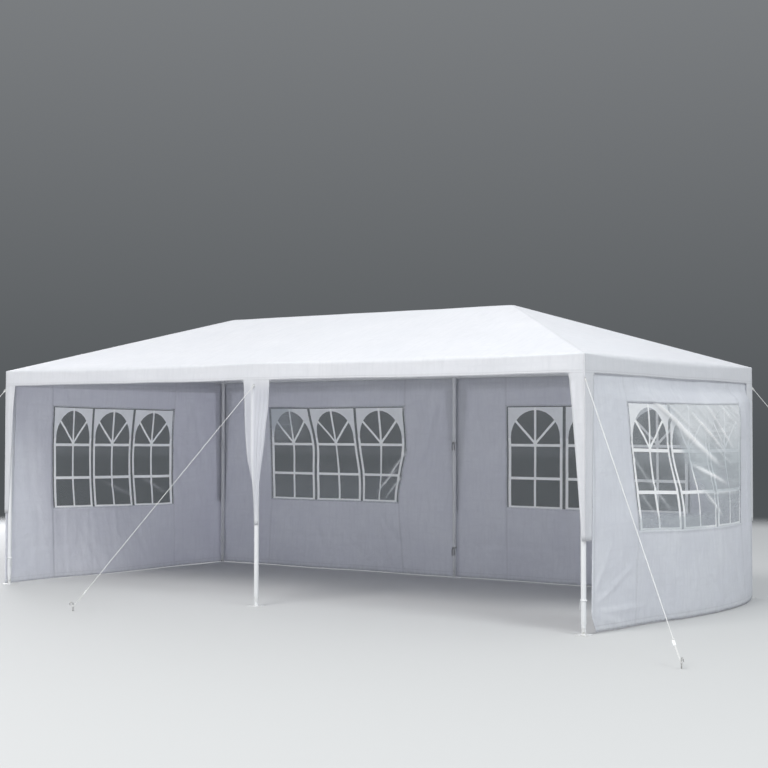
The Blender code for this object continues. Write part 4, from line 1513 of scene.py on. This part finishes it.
def laid_rope(bm, start, end, radius):
    """Three strands laid round each other, from one point to another, closed at both ends."""
    before = set(bm.verts)
    length = (end - start).length
    count = max(int(length / ROPE_LAY * STEPS_A_LAY), 1)
    ring = []
    for step in range(ROPE_POINTS):
        angle = math.tau * step / ROPE_POINTS
        reach = radius * (0.84 + 0.16 * math.cos(3 * angle))
        ring.append(bm.verts.new((reach * math.cos(angle), reach * math.sin(angle), 0)))
    edges = [bm.edges.new(pair) for pair in zip(ring, ring[1:] + ring[:1])]
    rise, turn = (0, 0, length / count), math.tau * length / ROPE_LAY
    bmesh.ops.spin(bm, geom=ring + edges, cent=(0, 0, 0), axis=UP, dvec=rise, angle=turn, steps=count)
    rims = [edge for edge in bm.edges if edge.is_boundary and edge.verts[0] not in before]
    bmesh.ops.holes_fill(bm, edges=rims, sides=ROPE_POINTS)
    settle(bm, before, along(start, end))


def bent_peg(foot, outward, radius, height):
    """Round steel pin that stands in the ground, with its top bent over into a hook."""
    bm = bmesh.new()
    place = Matrix.Translation(foot)
    bmesh.ops.create_circle(bm, cap_ends=True, segments=PIN_SIDES, radius=radius, matrix=place)
    edges = list(bm.edges)
    straight = height - HOOK_RADIUS - radius
    for half in range(2):
        made, edges = draw_out(bm, edges, UP * straight / 2)
    bend = bmesh.ops.spin(
        bm,
        geom=made + edges,
        cent=foot + UP * straight + outward * HOOK_RADIUS,
        axis=UP.cross(outward),
        angle=math.pi,
        steps=HOOK_STEPS,
    )["geom_last"]
    draw_out(bm, only(BMEdge, bend), UP * -HOOK_RADIUS)
    bmesh.ops.holes_fill(bm, edges=[edge for edge in bm.edges if edge.is_boundary], sides=PIN_SIDES)
    bmesh.ops.recalc_face_normals(bm, faces=bm.faces)
    return bm


for node in nodes_named("guy_rope_"):
    spot = node[len("guy_rope_"):]
    first, last, radius = rod_ends(node)
    top, low = (first, last) if first.z > last.z else (last, first)
    run = (low - top).normalized()
    outward = Vector((run.x, run.y, 0)).normalized()
    side = run.cross(UP).normalized()
    feet = [point for point in merged_points("stake_" + spot) if point.z < NEAR]
    foot = middle_of(feet)
    pin_radius = max((point - foot).length for point in feet)
    bm = bmesh.new()
    laid_rope(bm, top, low, radius)
    slide = low - run * SLIDE_UP
    for start, count in ((top + run * TIE_DOWN, 3), (slide - run * WRAP_ABOVE_SLIDE, 2)):
        for turn in range(count):
            wrap = start + run * WRAP_PITCH * turn
            add_ring(bm, radius * WRAP_OUT, radius * WRAP_THICK, 0, along(wrap, wrap + run), steps=16)
    doubled = slide + side * radius * DOUBLED_AT_SLIDE, low + side * radius * DOUBLED_AT_PEG
    laid_rope(bm, *doubled, radius * DOUBLED_THICK)
    noose = radius * NOOSE_THICK
    for lift in (-1, 1):
        round_pin = Matrix.Translation((foot.x, foot.y, low.z + lift * noose))
        add_ring(bm, pin_radius + noose, noose, 0, round_pin, steps=18)
    add_piece("laid_" + node, bm, [ROPE_FIBRE], [node], crease=60.0)

    bm = bmesh.new()
    block = bmesh.ops.create_cube(bm, size=1)["verts"]
    bmesh.ops.scale(bm, vec=(SLIDE_WIDTH, SLIDE_DEPTH, SLIDE_LENGTH), verts=block)
    rounding = {"offset": SLIDE_ROUND, "segments": 3, "profile": 0.5, "affect": "EDGES", "material": -1}
    bmesh.ops.bevel(bm, geom=list(bm.edges), **rounding)
    turn = Matrix((side, run.cross(side), run)).transposed().to_4x4()
    middle = Matrix.Translation(slide + run * SLIDE_LENGTH * 0.7 + side * radius * 1.2)
    bmesh.ops.transform(bm, matrix=middle @ turn, verts=bm.verts)
    bmesh.ops.recalc_face_normals(bm, faces=bm.faces)
    add_piece("slide_" + spot, bm, [SLIDE_PLASTIC])

    bm = bmesh.new()
    centre = top + run * RING_DOWN
    add_ring(bm, RING_RADIUS, RING_HALF, 0, along(centre, centre + side), points=8, steps=24)
    add_piece("ring_" + spot, bm, [BUTTON_STEEL])

    peg = bent_peg(foot, outward, pin_radius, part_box("stake_" + spot)[1].z)
    add_piece("peg_" + spot, peg, [STAKE_STEEL], ["stake_" + spot])
